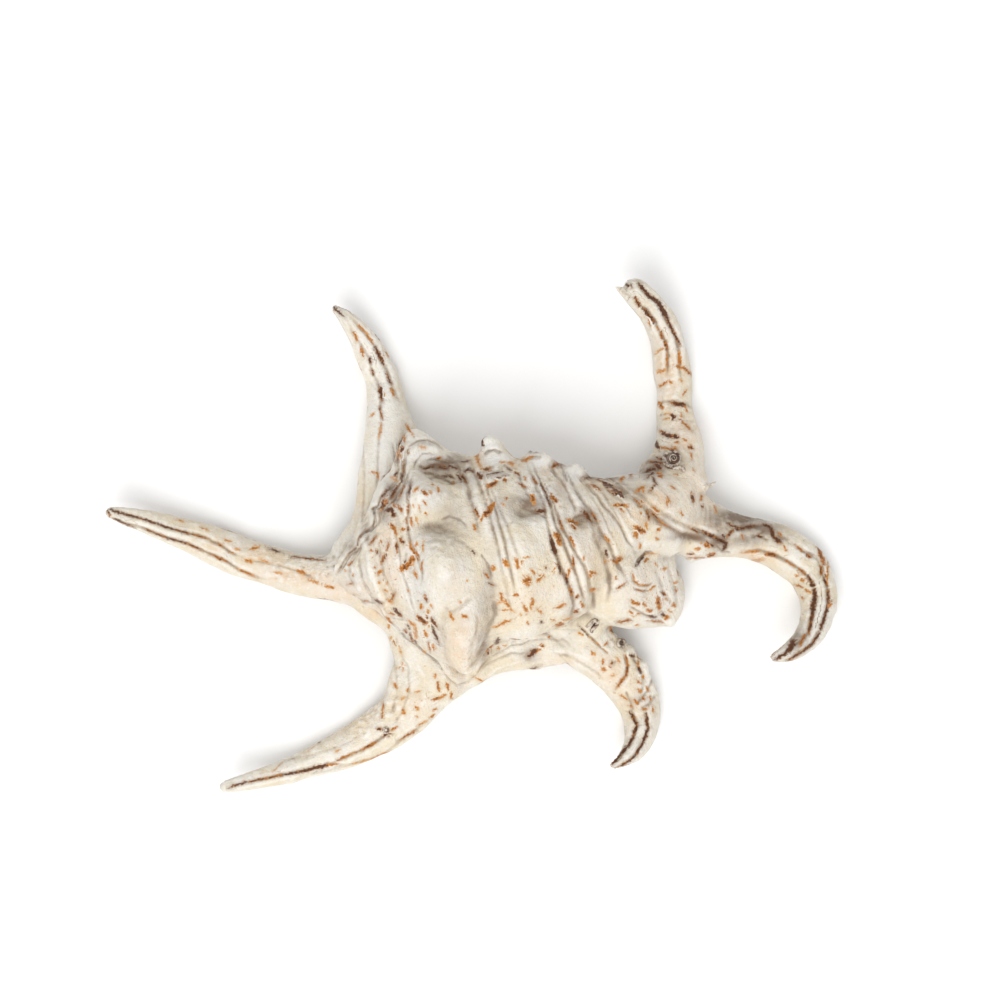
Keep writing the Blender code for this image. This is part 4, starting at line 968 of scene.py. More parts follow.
# %% [markdown]
# Along the fingers the flecks run together into stripes, which follow the folded seam of each finger. A
# long stripe is several strokes end to end, and they share their mark, so that no gap shows.
# %% Flecks and stripes of the fingers
FINGER_FLECKS = (
    (110, 510, 14, 4, 2.2, 0.95), (124, 514, 17, 4, 2.1, 0.95), (141, 518, 17, 6, 2.1, 0.9),
    (158, 524, 14, 5, 1.9, 0.9), (172, 529, 20, 5, 1.8, 0.85), (192, 534, 14, 4, 1.5, 0.7),
    (219, 544, 3, 2, 1.8, 0.6), (230, 552, 4, 1, 1.8, 0.5), (112, 518, 19, 8, 1.6, 0.9),
    (147, 530, 20, 8, 1.8, 0.8), (167, 538, 19, 5, 1.9, 0.9), (186, 543, 13, 6, 1.6, 0.8),
    (213, 555, 13, 6, 2.4, 0.7), (239, 569, 14, 7, 2.2, 0.5), (251, 549, 7, -2, 3.6, 0.3),
    (246, 560, 5, 2, 3.2, 0.3), (235, 549, 5, 1, 3, 0.2), (298, 571, 6, 2, 3, 0.35), (326, 586, 7, 2, 3, 0.3),
    (270, 549, 9, 3, 2.2, 0.9), (294, 557, 28, 3, 2, 0.8), (262, 560, 6, 2, 2.4, 0.2),
    (275, 572, 7, 2, 2.4, 0.2), (310, 580, 8, 3, 2.8, 0.2), (202, 528, 6, 2, 2, 0.2),
    (178, 520, 6, 2, 1.8, 0.2), (226, 540, 4, 1, 2, 0.3), (108, 509, 2, 7, 1.8, 0.8),
    (334, 307, 8, 8, 2.8, 0.95), (359, 326, 7, 6, 2.6, 0.2), (366, 332, 7, 12, 2.6, 0.2),
    (375, 347, 8, 16, 3.2, 0.85), (387, 375, 4, 9, 2, 0.8), (391, 388, 3, 8, 2.4, 0.3),
    (354, 333, 3, 7, 3, 0.4), (361, 348, 2, 8, 2.6, 0.5), (370, 359, 0, 3, 2.8, 0.9),
    (372, 371, 1, 2, 2.2, 0.8), (380, 388, 2, 11, 4.2, 0.8), (383, 391, 1, 6, 2, 0.3),
    (380, 409, 2, 9, 2.2, 0.7), (381, 425, -2, 12, 3.2, 0.15), (371, 416, 3, -2, 2.8, 0.2),
    (406, 425, 7, 10, 2.4, 0.4), (404, 437, 0, 4, 3, 0.5), (400, 449, 0, 8, 2, 0.5),
    (371, 472, 7, 1, 2.2, 0.2), (378, 473, 0, 5, 2.2, 0.25), (394, 476, 3, -3, 2, 0.9),
    (393, 478, 4, 3, 4, 0.05), (402, 442, -2, 2, 2, 0.9), (386, 352, 2, 4, 1.6, 0.3),
    (231, 787, 15, -5, 1.9, 0.85), (246, 782, 21, -4, 1.8, 0.8), (267, 778, 15, -3, 1.9, 0.8),
    (282, 775, 16, -3, 2.2, 0.9), (298, 772, 17, -4, 2.8, 0.85), (315, 768, 12, -3, 4, 0.85),
    (327, 765, 11, -1, 2.6, 0.4), (338, 760, 16, -7, 2, 0.6), (362, 750, 14, -8, 2.8, 0.6),
    (384, 736, 6, -2, 3, 0.8), (391, 730, 5, -3, 2.2, 0.5), (401, 739, 14, -8, 2, 0.65),
    (418, 725, 8, -3, 2, 0.3), (430, 718, 4, -3, 1.8, 0.4), (356, 763, 15, -4, 1.5, 0.3),
    (371, 759, 16, -7, 1.5, 0.4), (378, 729, 3, 0, 2.8, 0.7), (386, 736, 3, -1, 2.6, 0.9),
    (383, 705, -1, 13, 2, 0.6), (395, 684, 1, 3, 2.8, 0.4), (408, 689, 0, 2, 2, 0.4),
    (416, 692, 4, -1, 2, 0.2), (402, 699, 2, -1, 2, 0.2), (403, 711, 1, 2, 3.4, 0.4),
    (416, 708, 2, 1, 3.6, 0.3), (416, 716, 2, 1, 2, 0.2), (434, 710, 2, -1, 2, 0.4),
    (435, 675, 0, 3, 2.4, 0.2), (438, 683, 1, 7, 2.8, 0.5), (434, 699, 6, -1, 2.8, 0.5),
    (440, 698, 5, -3, 2.4, 0.5), (447, 684, 1, 5, 2.6, 0.4), (451, 693, 0, 5, 2.6, 0.4),
    (399, 646, 3, 8, 1.6, 0.15), (402, 663, 1, 7, 1.6, 0.4), (395, 641, 1, 3, 2.4, 0.7),
    (403, 666, -5, 2, 1.4, 0.2), (274, 771, 7, -7, 1, 0.2), (317, 741, 2, 1, 2, 0.8),
    (336, 752, 4, -2, 2, 0.2), (630, 713, 7, 11, 2.8, 0.85), (637, 724, -4, 12, 3.2, 0.85),
    (633, 736, -4, 9, 3.2, 0.9), (629, 745, -9, 10, 3, 0.95), (620, 755, -8, 9, 2.6, 0.9),
    (646, 715, 2, 14, 2.8, 0.85), (648, 729, -5, 13, 3, 0.9), (643, 742, -7, 13, 3, 0.85),
    (636, 755, -8, 7, 2.4, 0.9), (628, 762, -9, 5, 2.2, 0.8), (643, 709, 3, 0, 2.4, 0.5),
    (635, 701, 2, 2, 2.4, 0.5), (637, 681, 3, 2, 2.4, 0.4), (638, 690, 3, 2, 2.6, 0.4),
    (642, 697, 2, 2, 2.2, 0.5), (652, 706, 2, 6, 1.8, 0.4), (622, 696, 5, 4, 2, 0.4),
    (629, 705, 3, 2, 2, 0.5), (646, 687, 2, 4, 1.8, 0.4), (650, 696, 1, 4, 1.8, 0.4),
    (745, 552, 14, -1, 2, 0.4), (767, 554, 7, 1, 3.6, 0.7), (787, 561, 7, 5, 2, 0.45),
    (799, 569, 6, 5, 2, 0.7), (808, 576, 4, 6, 2.6, 0.9), (811, 584, 2, 1, 4, 0.85),
    (814, 589, 1, 11, 4.4, 0.9), (814, 600, -1, 11, 4.4, 0.9), (813, 611, -2, 10, 3.4, 0.85),
    (811, 621, -2, 12, 2.8, 0.8), (804, 636, -4, 9, 2.8, 0.6), (794, 641, -5, 9, 5, 0.9),
    (788, 652, -12, 7, 3.6, 0.9), (796, 576, 1, 0, 3, 0.25), (802, 580, 2, 1, 3, 0.4),
    (818, 548, 6, 15, 3.8, 0.65), (821, 567, 0, 8, 2.8, 0.7), (828, 563, -1, 21, 2.2, 0.45),
    (824, 577, 3, 9, 2.4, 0.85), (828, 590, 0, 14, 2.6, 0.8), (831, 604, -5, 5, 2.4, 0.4),
    (827, 608, -2, 8, 3.2, 0.9), (825, 616, -4, 13, 3.4, 0.9), (819, 633, -7, 11, 2.6, 0.9),
    (812, 644, -11, 8, 2.6, 0.85), (801, 652, -12, 8, 2.6, 0.85), (796, 585, 6, 2, 2.2, 0.5),
    (806, 590, 5, 3, 2.4, 0.4), (802, 597, 1, 2, 1.8, 0.4), (692, 529, 5, 3, 2, 0.7),
    (704, 532, 12, 6, 2.4, 0.85), (716, 538, 10, 5, 2.6, 0.95), (726, 543, -2, 6, 2.8, 0.95),
    (708, 543, 5, 3, 2, 0.9), (723, 535, 1, 2, 2.6, 0.9), (729, 524, 9, 5, 2.2, 0.9),
    (738, 529, 15, -3, 2.4, 0.9), (733, 530, -6, 7, 2.4, 0.8), (759, 536, 2, 1, 2.6, 0.9),
    (765, 525, 5, 2, 3, 0.9), (770, 527, 4, 10, 3.4, 0.9), (774, 537, 6, 5, 4, 0.85),
    (742, 535, 1, 3, 1.8, 0.5), (780, 534, 1, 2, 2, 0.5), (784, 547, 2, 3, 2.6, 0.4),
    (796, 546, 6, 5, 2.2, 0.6), (808, 556, 2, 1, 3, 0.7), (752, 561, 11, -2, 4, 0.05),
    (639, 284, 8, 10, 3.2, 0.9), (647, 294, 11, 8, 3.6, 0.95), (658, 302, 8, 14, 4.6, 0.95),
    (666, 316, 6, 14, 2.8, 0.85), (672, 330, 7, 13, 2.6, 0.8), (679, 353, 1, 11, 3.4, 0.35),
    (635, 298, 5, 8, 3.4, 0.8), (643, 308, 11, 14, 3.6, 0.85), (656, 326, 3, 4, 1.6, 0.6),
    (661, 332, 1, 7, 2.4, 0.7), (665, 342, 1, 7, 3.4, 0.7), (667, 352, 0, 14, 1.8, 0.55),
    (656, 353, 9, -6, 2.8, 0.15), (658, 372, 7, -2, 3.4, 0.2), (660, 386, 8, -5, 2.2, 0.45),
    (670, 382, 1, 1, 2.2, 0.3), (680, 380, 2, 1, 2.6, 0.15), (676, 366, 8, 2, 2.6, 0.45),
    (684, 368, 8, 7, 2.8, 0.5), (684, 394, 2, -4, 2, 0.4), (673, 403, 11, 2, 4.2, 0.8),
    (685, 407, 2, 4, 2, 0.4), (660, 404, 2, 3, 4, 0.5), (672, 416, 1, 2, 4, 0.85), (665, 414, 6, 0, 1.5, 0.2),
    (665, 419, 5, -1, 1.5, 0.2), (681, 414, 1, 2, 2.2, 0.4), (680, 420, 10, 9, 2.2, 0.6),
    (660, 431, 6, 2, 2.6, 0.7), (664, 434, 6, 2, 4.2, 0.9), (670, 436, 8, 1, 3.8, 0.8),
    (676, 442, 2, 0, 2, 0.5), (684, 439, 2, 1, 3.2, 0.2), (656, 443, 2, 4, 4, 0.9),
    (658, 447, 17, 3, 2.2, 0.5), (675, 447, 1, 1, 2.4, 0.3), (689, 447, 3, 1, 3, 0.7),
    (691, 453, 1, 6, 2.2, 0.35), (693, 470, 1, 1, 2.4, 0.1), (650, 462, 12, 1, 3, 0.85),
    (656, 464, 4, 4, 4.4, 0.9), (646, 471, 9, -2, 2.6, 0.95), (657, 458, 6, 1, 2.2, 0.9),
    (648, 477, 5, -4, 2, 0.9), (658, 473, 2, 1, 3.4, 0.4), (628, 285, 3, 2, 2, 0.8),
    (648, 318, 2, 8, 1.6, 0.5),
)
ALL_FLECKS = SPIRE_FLECKS + CORD_FLECKS + CANAL_FLECKS + FINGER_FLECKS
print(len(ALL_FLECKS), "flecks in all")

# %% [markdown]
# Each point of the skin keeps where it lies in the frame of its nearest fleck: how far along it and how far
# across, and the fleck's half length, half width and darkness. Between the points these numbers run
# straight, so the material can draw a fleck far finer than the mesh. The painted shade along the folds is
# kept in the same way: each point keeps how far it is to the side of its nearest fold.
# Where one face has points of two flecks, the numbers between them mean nothing. So each fleck has a mark
# from 0.4 to 1, and the mark is stored with its square: the two agree only inside a single fleck's faces.
# A third number is 1 on points that have no fleck near.
# The sides that the photograph doesn't show get seeded flecks, which run the way the shell grew there.
# %% Where in a fleck and beside a fold each point lies
SPREAD = 4.5
FAR = 1e3
LEAST_MARK, MARK_STEP = 0.4, 0.37
# How dark the painted shade along a fold is, by its depth and width, and how it fades at its ends.
FOLD_SHADE, FULL_DEPTH, WIDE_FOLD = 0.55, 0.5, 2.4
FOLD_SHADE_END = 0.12
GROWN_LENGTHS, GROWN_WIDTHS, GROWN_TONES = (0.5, 6), (0.7, 1.9), (0.1, 0.9)


def unmarked(points):
    """No fleck yet: its distance, the place in its frame, its size, and its mark, the square and 1."""
    count = len(points)
    blanks = ((0.0, 0.0, 0.0), (1.0, 1.0, 0.5), (0.0, 0.0, 1.0))
    return np.full(count, FAR), *(np.tile(blank, (count, 1)) for blank in blanks)


def put_fleck(frames, near, along, across, above, size, mark):
    """Gives a fleck to those of the near points that have no nearer one."""
    nearest, spot, sizes, marks = frames
    outside = np.hypot(np.maximum(np.abs(along) - size[0], 0), across) - size[1] + np.abs(above)
    better = outside < nearest[near]
    near = near[better]
    nearest[near] = outside[better]
    spot[near] = np.stack([along[better], across[better], 0 * along[better]], axis=1)
    sizes[near] = size
    marks[near] = mark, mark**2, 0


def next_mark(mark):
    """A mark from 0.4 to 1 that is well away from the last one."""
    return LEAST_MARK + (mark - LEAST_MARK + MARK_STEP) % (1 - LEAST_MARK)


def drawn_flecks(frames, places, facing, flecks):
    """Flecks that are strokes on the picture. Strokes that touch share their mark."""
    before = np.zeros((1, 2))
    mark = 1.0
    for x, y, across, down, width, dark in flecks:
        line = np.array(((x, y), (x + across + 0.01, y + down)), float)
        if np.abs(line[:, None] - before).sum(axis=2).min() > 2.5 + width / 2:
            mark = next_mark(mark)
        before = line
        near = close_to(places, line, width + SPREAD)
        near = near[facing[near] > 0.02]
        half_length = np.hypot(*(line[1] - line[0])) / 2
        ahead = (line[1] - line[0]) / (2 * half_length)
        off = places[near] - line.mean(axis=0)
        size = (half_length, width / 2, dark)
        put_fleck(frames, near, off @ ahead, off @ (-ahead[1], ahead[0]), 0 * near, size, mark)


def grown_flecks(frames, points, normals, ways, allowed, count, seed):
    """Seeded flecks on the points that are allowed, each along the way that the shell grew there."""
    rng = np.random.default_rng(seed)
    for k in rng.choice(np.flatnonzero(allowed), count):
        size = [rng.uniform(*spread) for spread in (GROWN_LENGTHS, GROWN_WIDTHS, GROWN_TONES)]
        reach = (size[0] + size[1] + SPREAD) * PIXEL / MM
        near = np.flatnonzero(np.abs(points - points[k]).max(axis=1) < reach)
        off = (points[near] - points[k]) * MM / PIXEL
        axes = off @ ways[k], off @ np.cross(normals[k], ways[k]), off @ normals[k]
        put_fleck(frames, near, *axes, size, rng.uniform(LEAST_MARK, 1.0))


def fold_frames(places, facing, folds):
    """For each point: how far beside its nearest fold it is, the fold's width and painted shade, and its
    mark.
    """
    mark = 1.0
    nearest = np.full(len(places), FAR)
    frames = np.tile((0.0, 1.0, 0.0), (len(places), 1))
    marks = np.zeros((len(places), 3))
    for depth, width, *line in folds:
        line = np.array(line, float)
        mark = next_mark(mark)
        near = close_to(places, line, width + SPREAD)
        near = near[facing[near] > 0.02]
        side, share = beside(places[near], line)
        better = np.abs(side) < nearest[near]
        near, side = near[better], side[better]
        # The painted shade along the fold: darker the deeper and narrower the fold, fading at its ends.
        ends = np.clip(np.minimum(share[better], 1 - share[better]) / FOLD_SHADE_END, 0, 1)
        fold_shade = ends * min(1.0, depth * FOLD_SHADE / FULL_DEPTH) * min(1.0, WIDE_FOLD / width)
        nearest[near] = np.abs(side)
        frames[near] = np.stack([side, 0 * side + width, fold_shade], axis=1)
        marks[near] = mark, mark**2, 0
    return frames, marks


def smoothed(values, edges, rounds):
    """The values after so many rounds of averaging each point with its neighbours."""
    for _ in range(rounds):
        total = np.zeros_like(values)
        np.add.at(total, edges[:, 0], values[edges[:, 1]])
        np.add.at(total, edges[:, 1], values[edges[:, 0]])
        count = np.bincount(edges.ravel(), minlength=len(values))
        values = 0.5 * values + 0.5 * (total.T / np.maximum(count, 1)).T
    return values


print("the fleck helpers are ready")

# %% [markdown]
# What the colours need to know is stored on the points: flecks, hollows and ridges for painted shade and
# white wear, white worn knobs and painted light, warm and cool areas, areas of painted shade with some
# brown dirt, the mouth, and two sets of coordinates along the growth lines. An area is a soft oval on the
# picture: its middle, its reach across and down in pixels, and its strength.
# %% Areas of colour
AREAS = {
    # White worn knobs, and painted light: the long areas on the upper left finger and the lobe brighten
    # shade.
    "worn": (
        (489, 446, 13, 8, 1), (495, 459, 14, 6, 1), (532, 452, 7, 4, 1), (540, 462, 10, 7, 1),
        (572, 474, 9, 10, 1), (425, 456, 18, 4, 0.7), (384, 440, 16, 60, 0.8), (372, 360, 16, 44, 0.6),
        (386, 472, 12, 24, 0.7), (352, 538, 12, 12, 0.5), (543, 497, 5, 9, 0.6), (494, 474, 13, 6, 0.7),
        (660, 590, 24, 32, 0.5), (330, 590, 18, 6, 0.3), (646, 690, 8, 20, 0.4), (700, 500, 14, 24, 0.3),
    ),
    "warm": (
        (462, 642, 17, 34, 0.8), (340, 590, 26, 12, 1), (300, 576, 34, 9, 0.9), (262, 560, 24, 9, 0.8),
        (214, 546, 26, 8, 0.6), (375, 612, 18, 8, 0.7), (388, 545, 12, 26, 0.6), (392, 580, 14, 30, 0.5),
        (455, 580, 10, 26, 0.4), (640, 516, 26, 12, 0.6), (660, 500, 22, 16, 0.7), (648, 590, 26, 24, 0.45),
        (612, 672, 16, 18, 0.6), (600, 660, 14, 10, 0.4), (410, 706, 22, 18, 0.4), (372, 345, 14, 22, 0.5),
        (668, 370, 16, 40, 0.7), (684, 440, 14, 24, 0.7), (757, 556, 22, 8, 0.7), (702, 530, 24, 12, 0.6),
        (555, 660, 30, 8, 0.35), (345, 720, 40, 18, 0.25), (358, 500, 8, 40, 0.3), (480, 462, 8, 10, 0.7),
        (513, 464, 8, 6, 0.7), (545, 470, 6, 12, 0.6), (563, 478, 6, 14, 0.6), (600, 484, 16, 8, 0.7),
        (530, 600, 34, 26, 0.3), (590, 560, 30, 40, 0.35), (700, 490, 20, 30, 0.5), (640, 700, 14, 30, 0.4),
    ),
    # Painted shade above the humps, on their far flanks and under the top edge, with some brown dirt.
    "painted_shade_and_dirt": (
        (443, 466, 21, 8, 1), (457, 460, 9, 8, 0.7), (452, 514, 14, 15, 0.4), (430, 527, 13, 5, 0.35),
        (527, 505, 20, 9, 0.9), (586, 516, 13, 9, 0.85), (597, 521, 8, 8, 0.5), (745, 540, 24, 7, 0.6),
        (606, 500, 5, 18, 0.3), (600, 538, 5, 14, 0.5), (487, 604, 8, 36, 0.35), (484, 648, 7, 18, 0.7),
        (462, 474, 6, 14, 0.5), (603, 477, 20, 4, 0.95), (630, 478, 14, 5, 0.3), (694, 537, 26, 5, 0.8),
        (724, 528, 8, 5, 0.6), (470, 490, 5, 26, 0.3), (572, 610, 7, 26, 0.3), (560, 490, 8, 10, 0.25),
        (720, 541, 13, 8, 1), (748, 527, 26, 6, 0.9), (656, 466, 13, 9, 0.95), (672, 460, 13, 11, 0.8),
        (393, 494, 9, 14, 0.75), (384, 516, 6, 9, 0.6), (366, 532, 7, 9, 0.6), (352, 548, 8, 8, 0.5),
        (778, 538, 12, 6, 0.6), (797, 640, 9, 13, 0.7), (738, 518, 34, 9, 1), (716, 524, 12, 6, 0.7),
        (764, 530, 20, 8, 0.8), (722, 546, 8, 6, 0.7), (640, 700, 14, 5, 0.3), (648, 474, 14, 6, 0.5),
        (650, 474, 12, 6, 0.7), (440, 534, 28, 8, 0.3), (564, 516, 8, 22, 0.35), (494, 474, 14, 4, 0.4),
        (403, 440, 5, 16, 0.35), (612, 512, 10, 24, 0.25), (420, 443, 22, 3, 0.35), (533, 451, 9, 3, 0.8),
        (559, 464, 8, 4, 0.8), (500, 512, 8, 22, 0.3), (635, 492, 14, 8, 0.4), (660, 520, 16, 6, 0.4),
        (490, 652, 12, 5, 0.4), (530, 655, 8, 7, 0.6),
    ),
    "speckled": (
        (390, 570, 34, 60, 0.9), (425, 640, 14, 30, 0.7), (650, 590, 30, 36, 0.9), (530, 600, 44, 34, 0.6),
        (610, 540, 30, 50, 0.5), (690, 500, 22, 40, 0.5), (480, 500, 30, 40, 0.4), (620, 690, 26, 30, 0.6),
        (460, 650, 14, 24, 0.4), (780, 560, 40, 30, 0.4), (420, 700, 24, 26, 0.5), (550, 490, 40, 24, 0.5),
    ),
    "cool": (
        (452, 575, 20, 42, 0.45), (470, 620, 16, 40, 0.35), (418, 590, 14, 46, 0.8), (432, 500, 16, 16, 0.6),
        (352, 578, 16, 16, 0.7), (436, 640, 12, 22, 0.7), (490, 560, 10, 50, 0.3), (466, 596, 10, 34, 0.4),
        (644, 688, 9, 20, 0.5),
    ),
}
print(sum(len(spots) for spots in AREAS.values()), "soft areas of", ", ".join(AREAS))

# %% [markdown]
# On the turns the shell grew round the axis, on a finger along its middle line. The hidden sides' flecks
# and the fine growth lines follow these ways. Painted shade in the creases and hollows, and white wear on
# the ridges, are told by how far a point lies below or above the skin round it: smoothing a little shows
# the creases, smoothing much shows the hollows.
# %% Store what the colours need
STIR = (0.5, 0.9, 31)
GROWN_FLECKS, GROWN_SEED = 420, 33
GROWN_ABOVE = 0.6
NEAR_ROUNDS, WIDE_ROUNDS = 8, 60


def store(thing, name, values):
    """Keeps a number or three numbers at each point, under a name that the material reads."""
    kind, slot_name = ("FLOAT", "value") if values.ndim == 1 else ("FLOAT_VECTOR", "vector")
    layer = thing.data.attributes.new(name, kind, "POINT")
    layer.data.foreach_set(slot_name, values.astype(np.float32).ravel())


points, normals = points_of(shell), normals_of(shell)
edges = rows_of(shell.data.edges, "vertices", 2, int)
facing = faces_camera(normals)
places = picture_of(points)

a, degrees, turns = on_whorl(points)
ways = np.cross(AXIS, points - CENTRE_SHIFT - APEX)
limb_grain = np.zeros_like(points)
limb_share = np.zeros(len(points))
for stations in FINGERS:
    where, angle, surely, forward = on_limb(points, stations)
    better = surely > limb_share
    limb_share[better] = surely[better]
    ways[better] = forward[better]
    limb_grain[better] = np.stack([angle / 12, where, where * 0], axis=1)[better]
ways /= np.linalg.norm(ways, axis=1)[:, None]
mouth = on_limb(points, MOUTH_SLOT)[2] * (1 - facing)

frames = unmarked(points)
drawn_flecks(frames, wandering(points, *STIR), facing, ALL_FLECKS)
hidden = (facing < 0.02) & (mouth < 0.1) & (points[:, 2] > GROWN_ABOVE)
grown_flecks(frames, points, normals, ways, hidden, GROWN_FLECKS, GROWN_SEED)
for name, values in zip(("fleck_spot", "fleck_size", "fleck_mark"), frames[1:]):
    store(shell, name, values)

sunk_folds = [fold for folds in ALL_FOLDS for fold in folds if fold[0] > 0]
fold_places, fold_marks = fold_frames(wandering(points, *FOLD_WANDER), facing, sunk_folds)
store(shell, "fold", fold_places)
store(shell, "fold_mark", fold_marks)

# The crease and hollow numbers darken the colour as painted shade; the ridges are made white as wear.
near_shape, wide_shape = smoothed(points, edges, NEAR_ROUNDS), smoothed(points, edges, WIDE_ROUNDS)
store(shell, "crease", (0.4 + 0.6 * facing) * ((near_shape - points) * normals).sum(axis=1))
store(shell, "hollow", (0.25 + 0.75 * facing) * ((wide_shape - points) * normals).sum(axis=1))
for name, spots in AREAS.items():
    store(shell, name, facing * np.max([share * area(places, *spot) for *spot, share in spots], axis=0))
store(shell, "mouth", mouth)
store(shell, "on_finger", limb_share)
store(shell, "turn_grain", np.stack([a, np.radians((degrees + 180) % 360) * 20, a * 0], axis=1))
store(shell, "limb_grain", limb_grain)
print("crease", (near_shape - points).std().round(3), "hollow", (wide_shape - points).std().round(3), "mm")

# %% [markdown]
# A material is a set of nodes, each fed by values or by other nodes. A few helpers add the kinds that are
# needed here, so that the recipes further down read like sums.
# %% Helpers for a material
def feed(tree, socket, value):
    """Puts another node's output, a number or a colour on a socket."""
    if isinstance(value, bpy.types.NodeSocket):
        tree.links.new(value, socket)
    else:
        socket.default_value = (*value, 1.0) if socket.type == "RGBA" else value


def node(tree, kind, **inputs):
    """Adds a node; each input is a value or another node's output."""
    made = tree.nodes.new("ShaderNode" + kind)
    for name, value in inputs.items():
        feed(tree, made.inputs[name.replace("_", " ")], value)
    return made


def stored(tree, name):
    """A number that is stored on the points."""
    made = tree.nodes.new("ShaderNodeAttribute")
    made.attribute_name = name
    return made.outputs["Fac"]


def stored_three(tree, name):
    """Three numbers that are stored on the points, as one output."""
    return stored(tree, name).node.outputs["Vector"]


def parts_of(tree, vector):
    """The three numbers of a vector, each as an output."""
    return node(tree, "SeparateXYZ", Vector=vector).outputs


def maths(tree, operation, first, second=0.0, clamp=False):
    """A sum of two values, each a number or an output."""
    made = tree.nodes.new("ShaderNodeMath")
    made.operation = operation
    made.use_clamp = clamp
    for socket, value in zip(made.inputs, (first, second)):
        feed(tree, socket, value)
    return made.outputs["Value"]


def times(tree, first, second, clamp=False):
    """The product of two values. The next two helpers add and subtract."""
    return maths(tree, "MULTIPLY", first, second, clamp)


def plus(tree, first, second):
    return maths(tree, "ADD", first, second)


def minus(tree, first, second, clamp=False):
    return maths(tree, "SUBTRACT", first, second, clamp)


def steps(tree, value, low, high, out_low=0.0, out_high=1.0):
    """Maps low..high to out_low..out_high with soft ends."""
    made = tree.nodes.new("ShaderNodeMapRange")
    made.interpolation_type = "SMOOTHSTEP"
    feed(tree, made.inputs["Value"], value)
    for name, number in (("From Min", low), ("From Max", high), ("To Min", out_low), ("To Max", out_high)):
        made.inputs[name].default_value = number
    return made.outputs["Result"]


def blended(tree, share, first, second):
    """A mix of two colours, each an output or a colour."""
    made = tree.nodes.new("ShaderNodeMix")
    made.data_type = "RGBA"
    for socket, value in ((made.inputs["Factor"], share), (made.inputs[6], first), (made.inputs[7], second)):
        feed(tree, socket, value)
    return made.outputs[2]


def noise(tree, vector, scale, detail=3.0, roughness=0.55):
    """Soft random values from 0 to 1; the scale is about how many lumps there are to a unit."""
    made = node(tree, "TexNoise", Vector=vector, Scale=scale, Detail=detail, Roughness=roughness)
    return made.outputs["Fac"]


def swing(tree, vector, scale, detail, roughness, width):
    """The same, swinging both ways round 0, as far as half the width."""
    return times(tree, minus(tree, noise(tree, vector, scale, detail, roughness), 0.5), width)


def stretched(tree, vector, scale):
    """The vector with each of its three numbers scaled."""
    return node(tree, "Mapping", Vector=vector, Scale=scale).outputs["Vector"]


def new_material(name):
    """An empty material, its nodes, its surface and the place of each point in metres."""
    made = bpy.data.materials.new(name)
    made.use_nodes = True
    tree = made.node_tree
    return made, tree, tree.nodes["Principled BSDF"], tree.nodes.new("ShaderNodeTexCoord").outputs["Object"]


def coat(thing, material):
    """Gives the object this material and no other."""
    thing.data.materials.clear()
    thing.data.materials.append(material)


print("the material helpers are ready")

# %% [markdown]
# Chalky cream white is the ground, more yellow along the growth lines, peach where it is warm and grey
# where it is cool. Noise of several sizes keeps any of these from lying flat.
# %% The ground colour
CHALK = (0.80, 0.755, 0.67)
CREAM = (0.76, 0.665, 0.50)
PEACH = (0.76, 0.53, 0.33)
COOL_GREY = (0.63, 0.61, 0.575)
WORN_WHITE = (0.90, 0.88, 0.83)
BROAD, MIDDLE, CHALKY, FINE = 110, 420, 1250, 2200


def ground_colour(tree, place, middle, limb_lines):
    """Chalk and cream, with the warm and cool areas and the chalky grain."""
    broad = noise(tree, place, BROAD, 3)
    chalky = noise(tree, place, CHALKY, 5, 0.75)
    turn_lines = noise(tree, stretched(tree, stored_three(tree, "turn_grain"), (0.5, 0.06, 1)), 3.2, 4)
    colour = blended(tree, steps(tree, broad, 0.38, 0.62), CHALK, CREAM)
    colour = blended(tree, times(tree, steps(tree, turn_lines, 0.42, 0.66), 0.5), colour, CREAM)
    warm = times(tree, stored(tree, "warm"), steps(tree, middle, 0.25, 0.65, 0.25, 1.0))
    colour = blended(tree, warm, colour, PEACH)
    colour = blended(tree, times(tree, stored(tree, "cool"), 0.8), colour, COOL_GREY)
    finger_lines = times(tree, stored(tree, "on_finger"), steps(tree, limb_lines, 0.5, 0.7, 0.0, 0.5))
    colour = blended(tree, finger_lines, colour, CREAM)
    colour = blended(tree, steps(tree, chalky, 0.5, 0.68, 0.0, 0.35), colour, COOL_GREY)
    return blended(tree, steps(tree, chalky, 0.46, 0.3, 0.0, 0.55), colour, WORN_WHITE)


print("the ground is noise of", BROAD, MIDDLE, "and", CHALKY, "lumps to the metre")

# %% [markdown]
# Painted shade darkens the hollows and the creases, and sand has worn the ridges clean and white. Along
# the folds the painted shade is a dark line of its own: it is drawn from how far beside the fold a point
# lies. Some soft areas are painted shade over some brown dirt, and some worn areas are painted light.
# %% Painted shade, wear, painted light and the mouth
# The brown of the painted shade in the hollows, creases and shade areas.
PAINTED_SHADE_BROWN = (0.24, 0.175, 0.125)
# The brown of the painted shade along the folds, and of the halo round the flecks.
SHADE_AND_HALO_BROWN = (0.20, 0.118, 0.064)
MOUTH_PINK = (0.78, 0.56, 0.42)
MARK_GAP = 24.0


def unlike(tree, name):
    """0 where all the points of a face have the same mark, and more pixels the more their marks differ."""
    mark = parts_of(tree, stored_three(tree, name))
    spread = minus(tree, mark["Y"], times(tree, mark["X"], mark["X"]))
    apart = plus(tree, maths(tree, "SQRT", maths(tree, "MAXIMUM", spread, 0.0)), mark["Z"])
    return times(tree, apart, MARK_GAP)


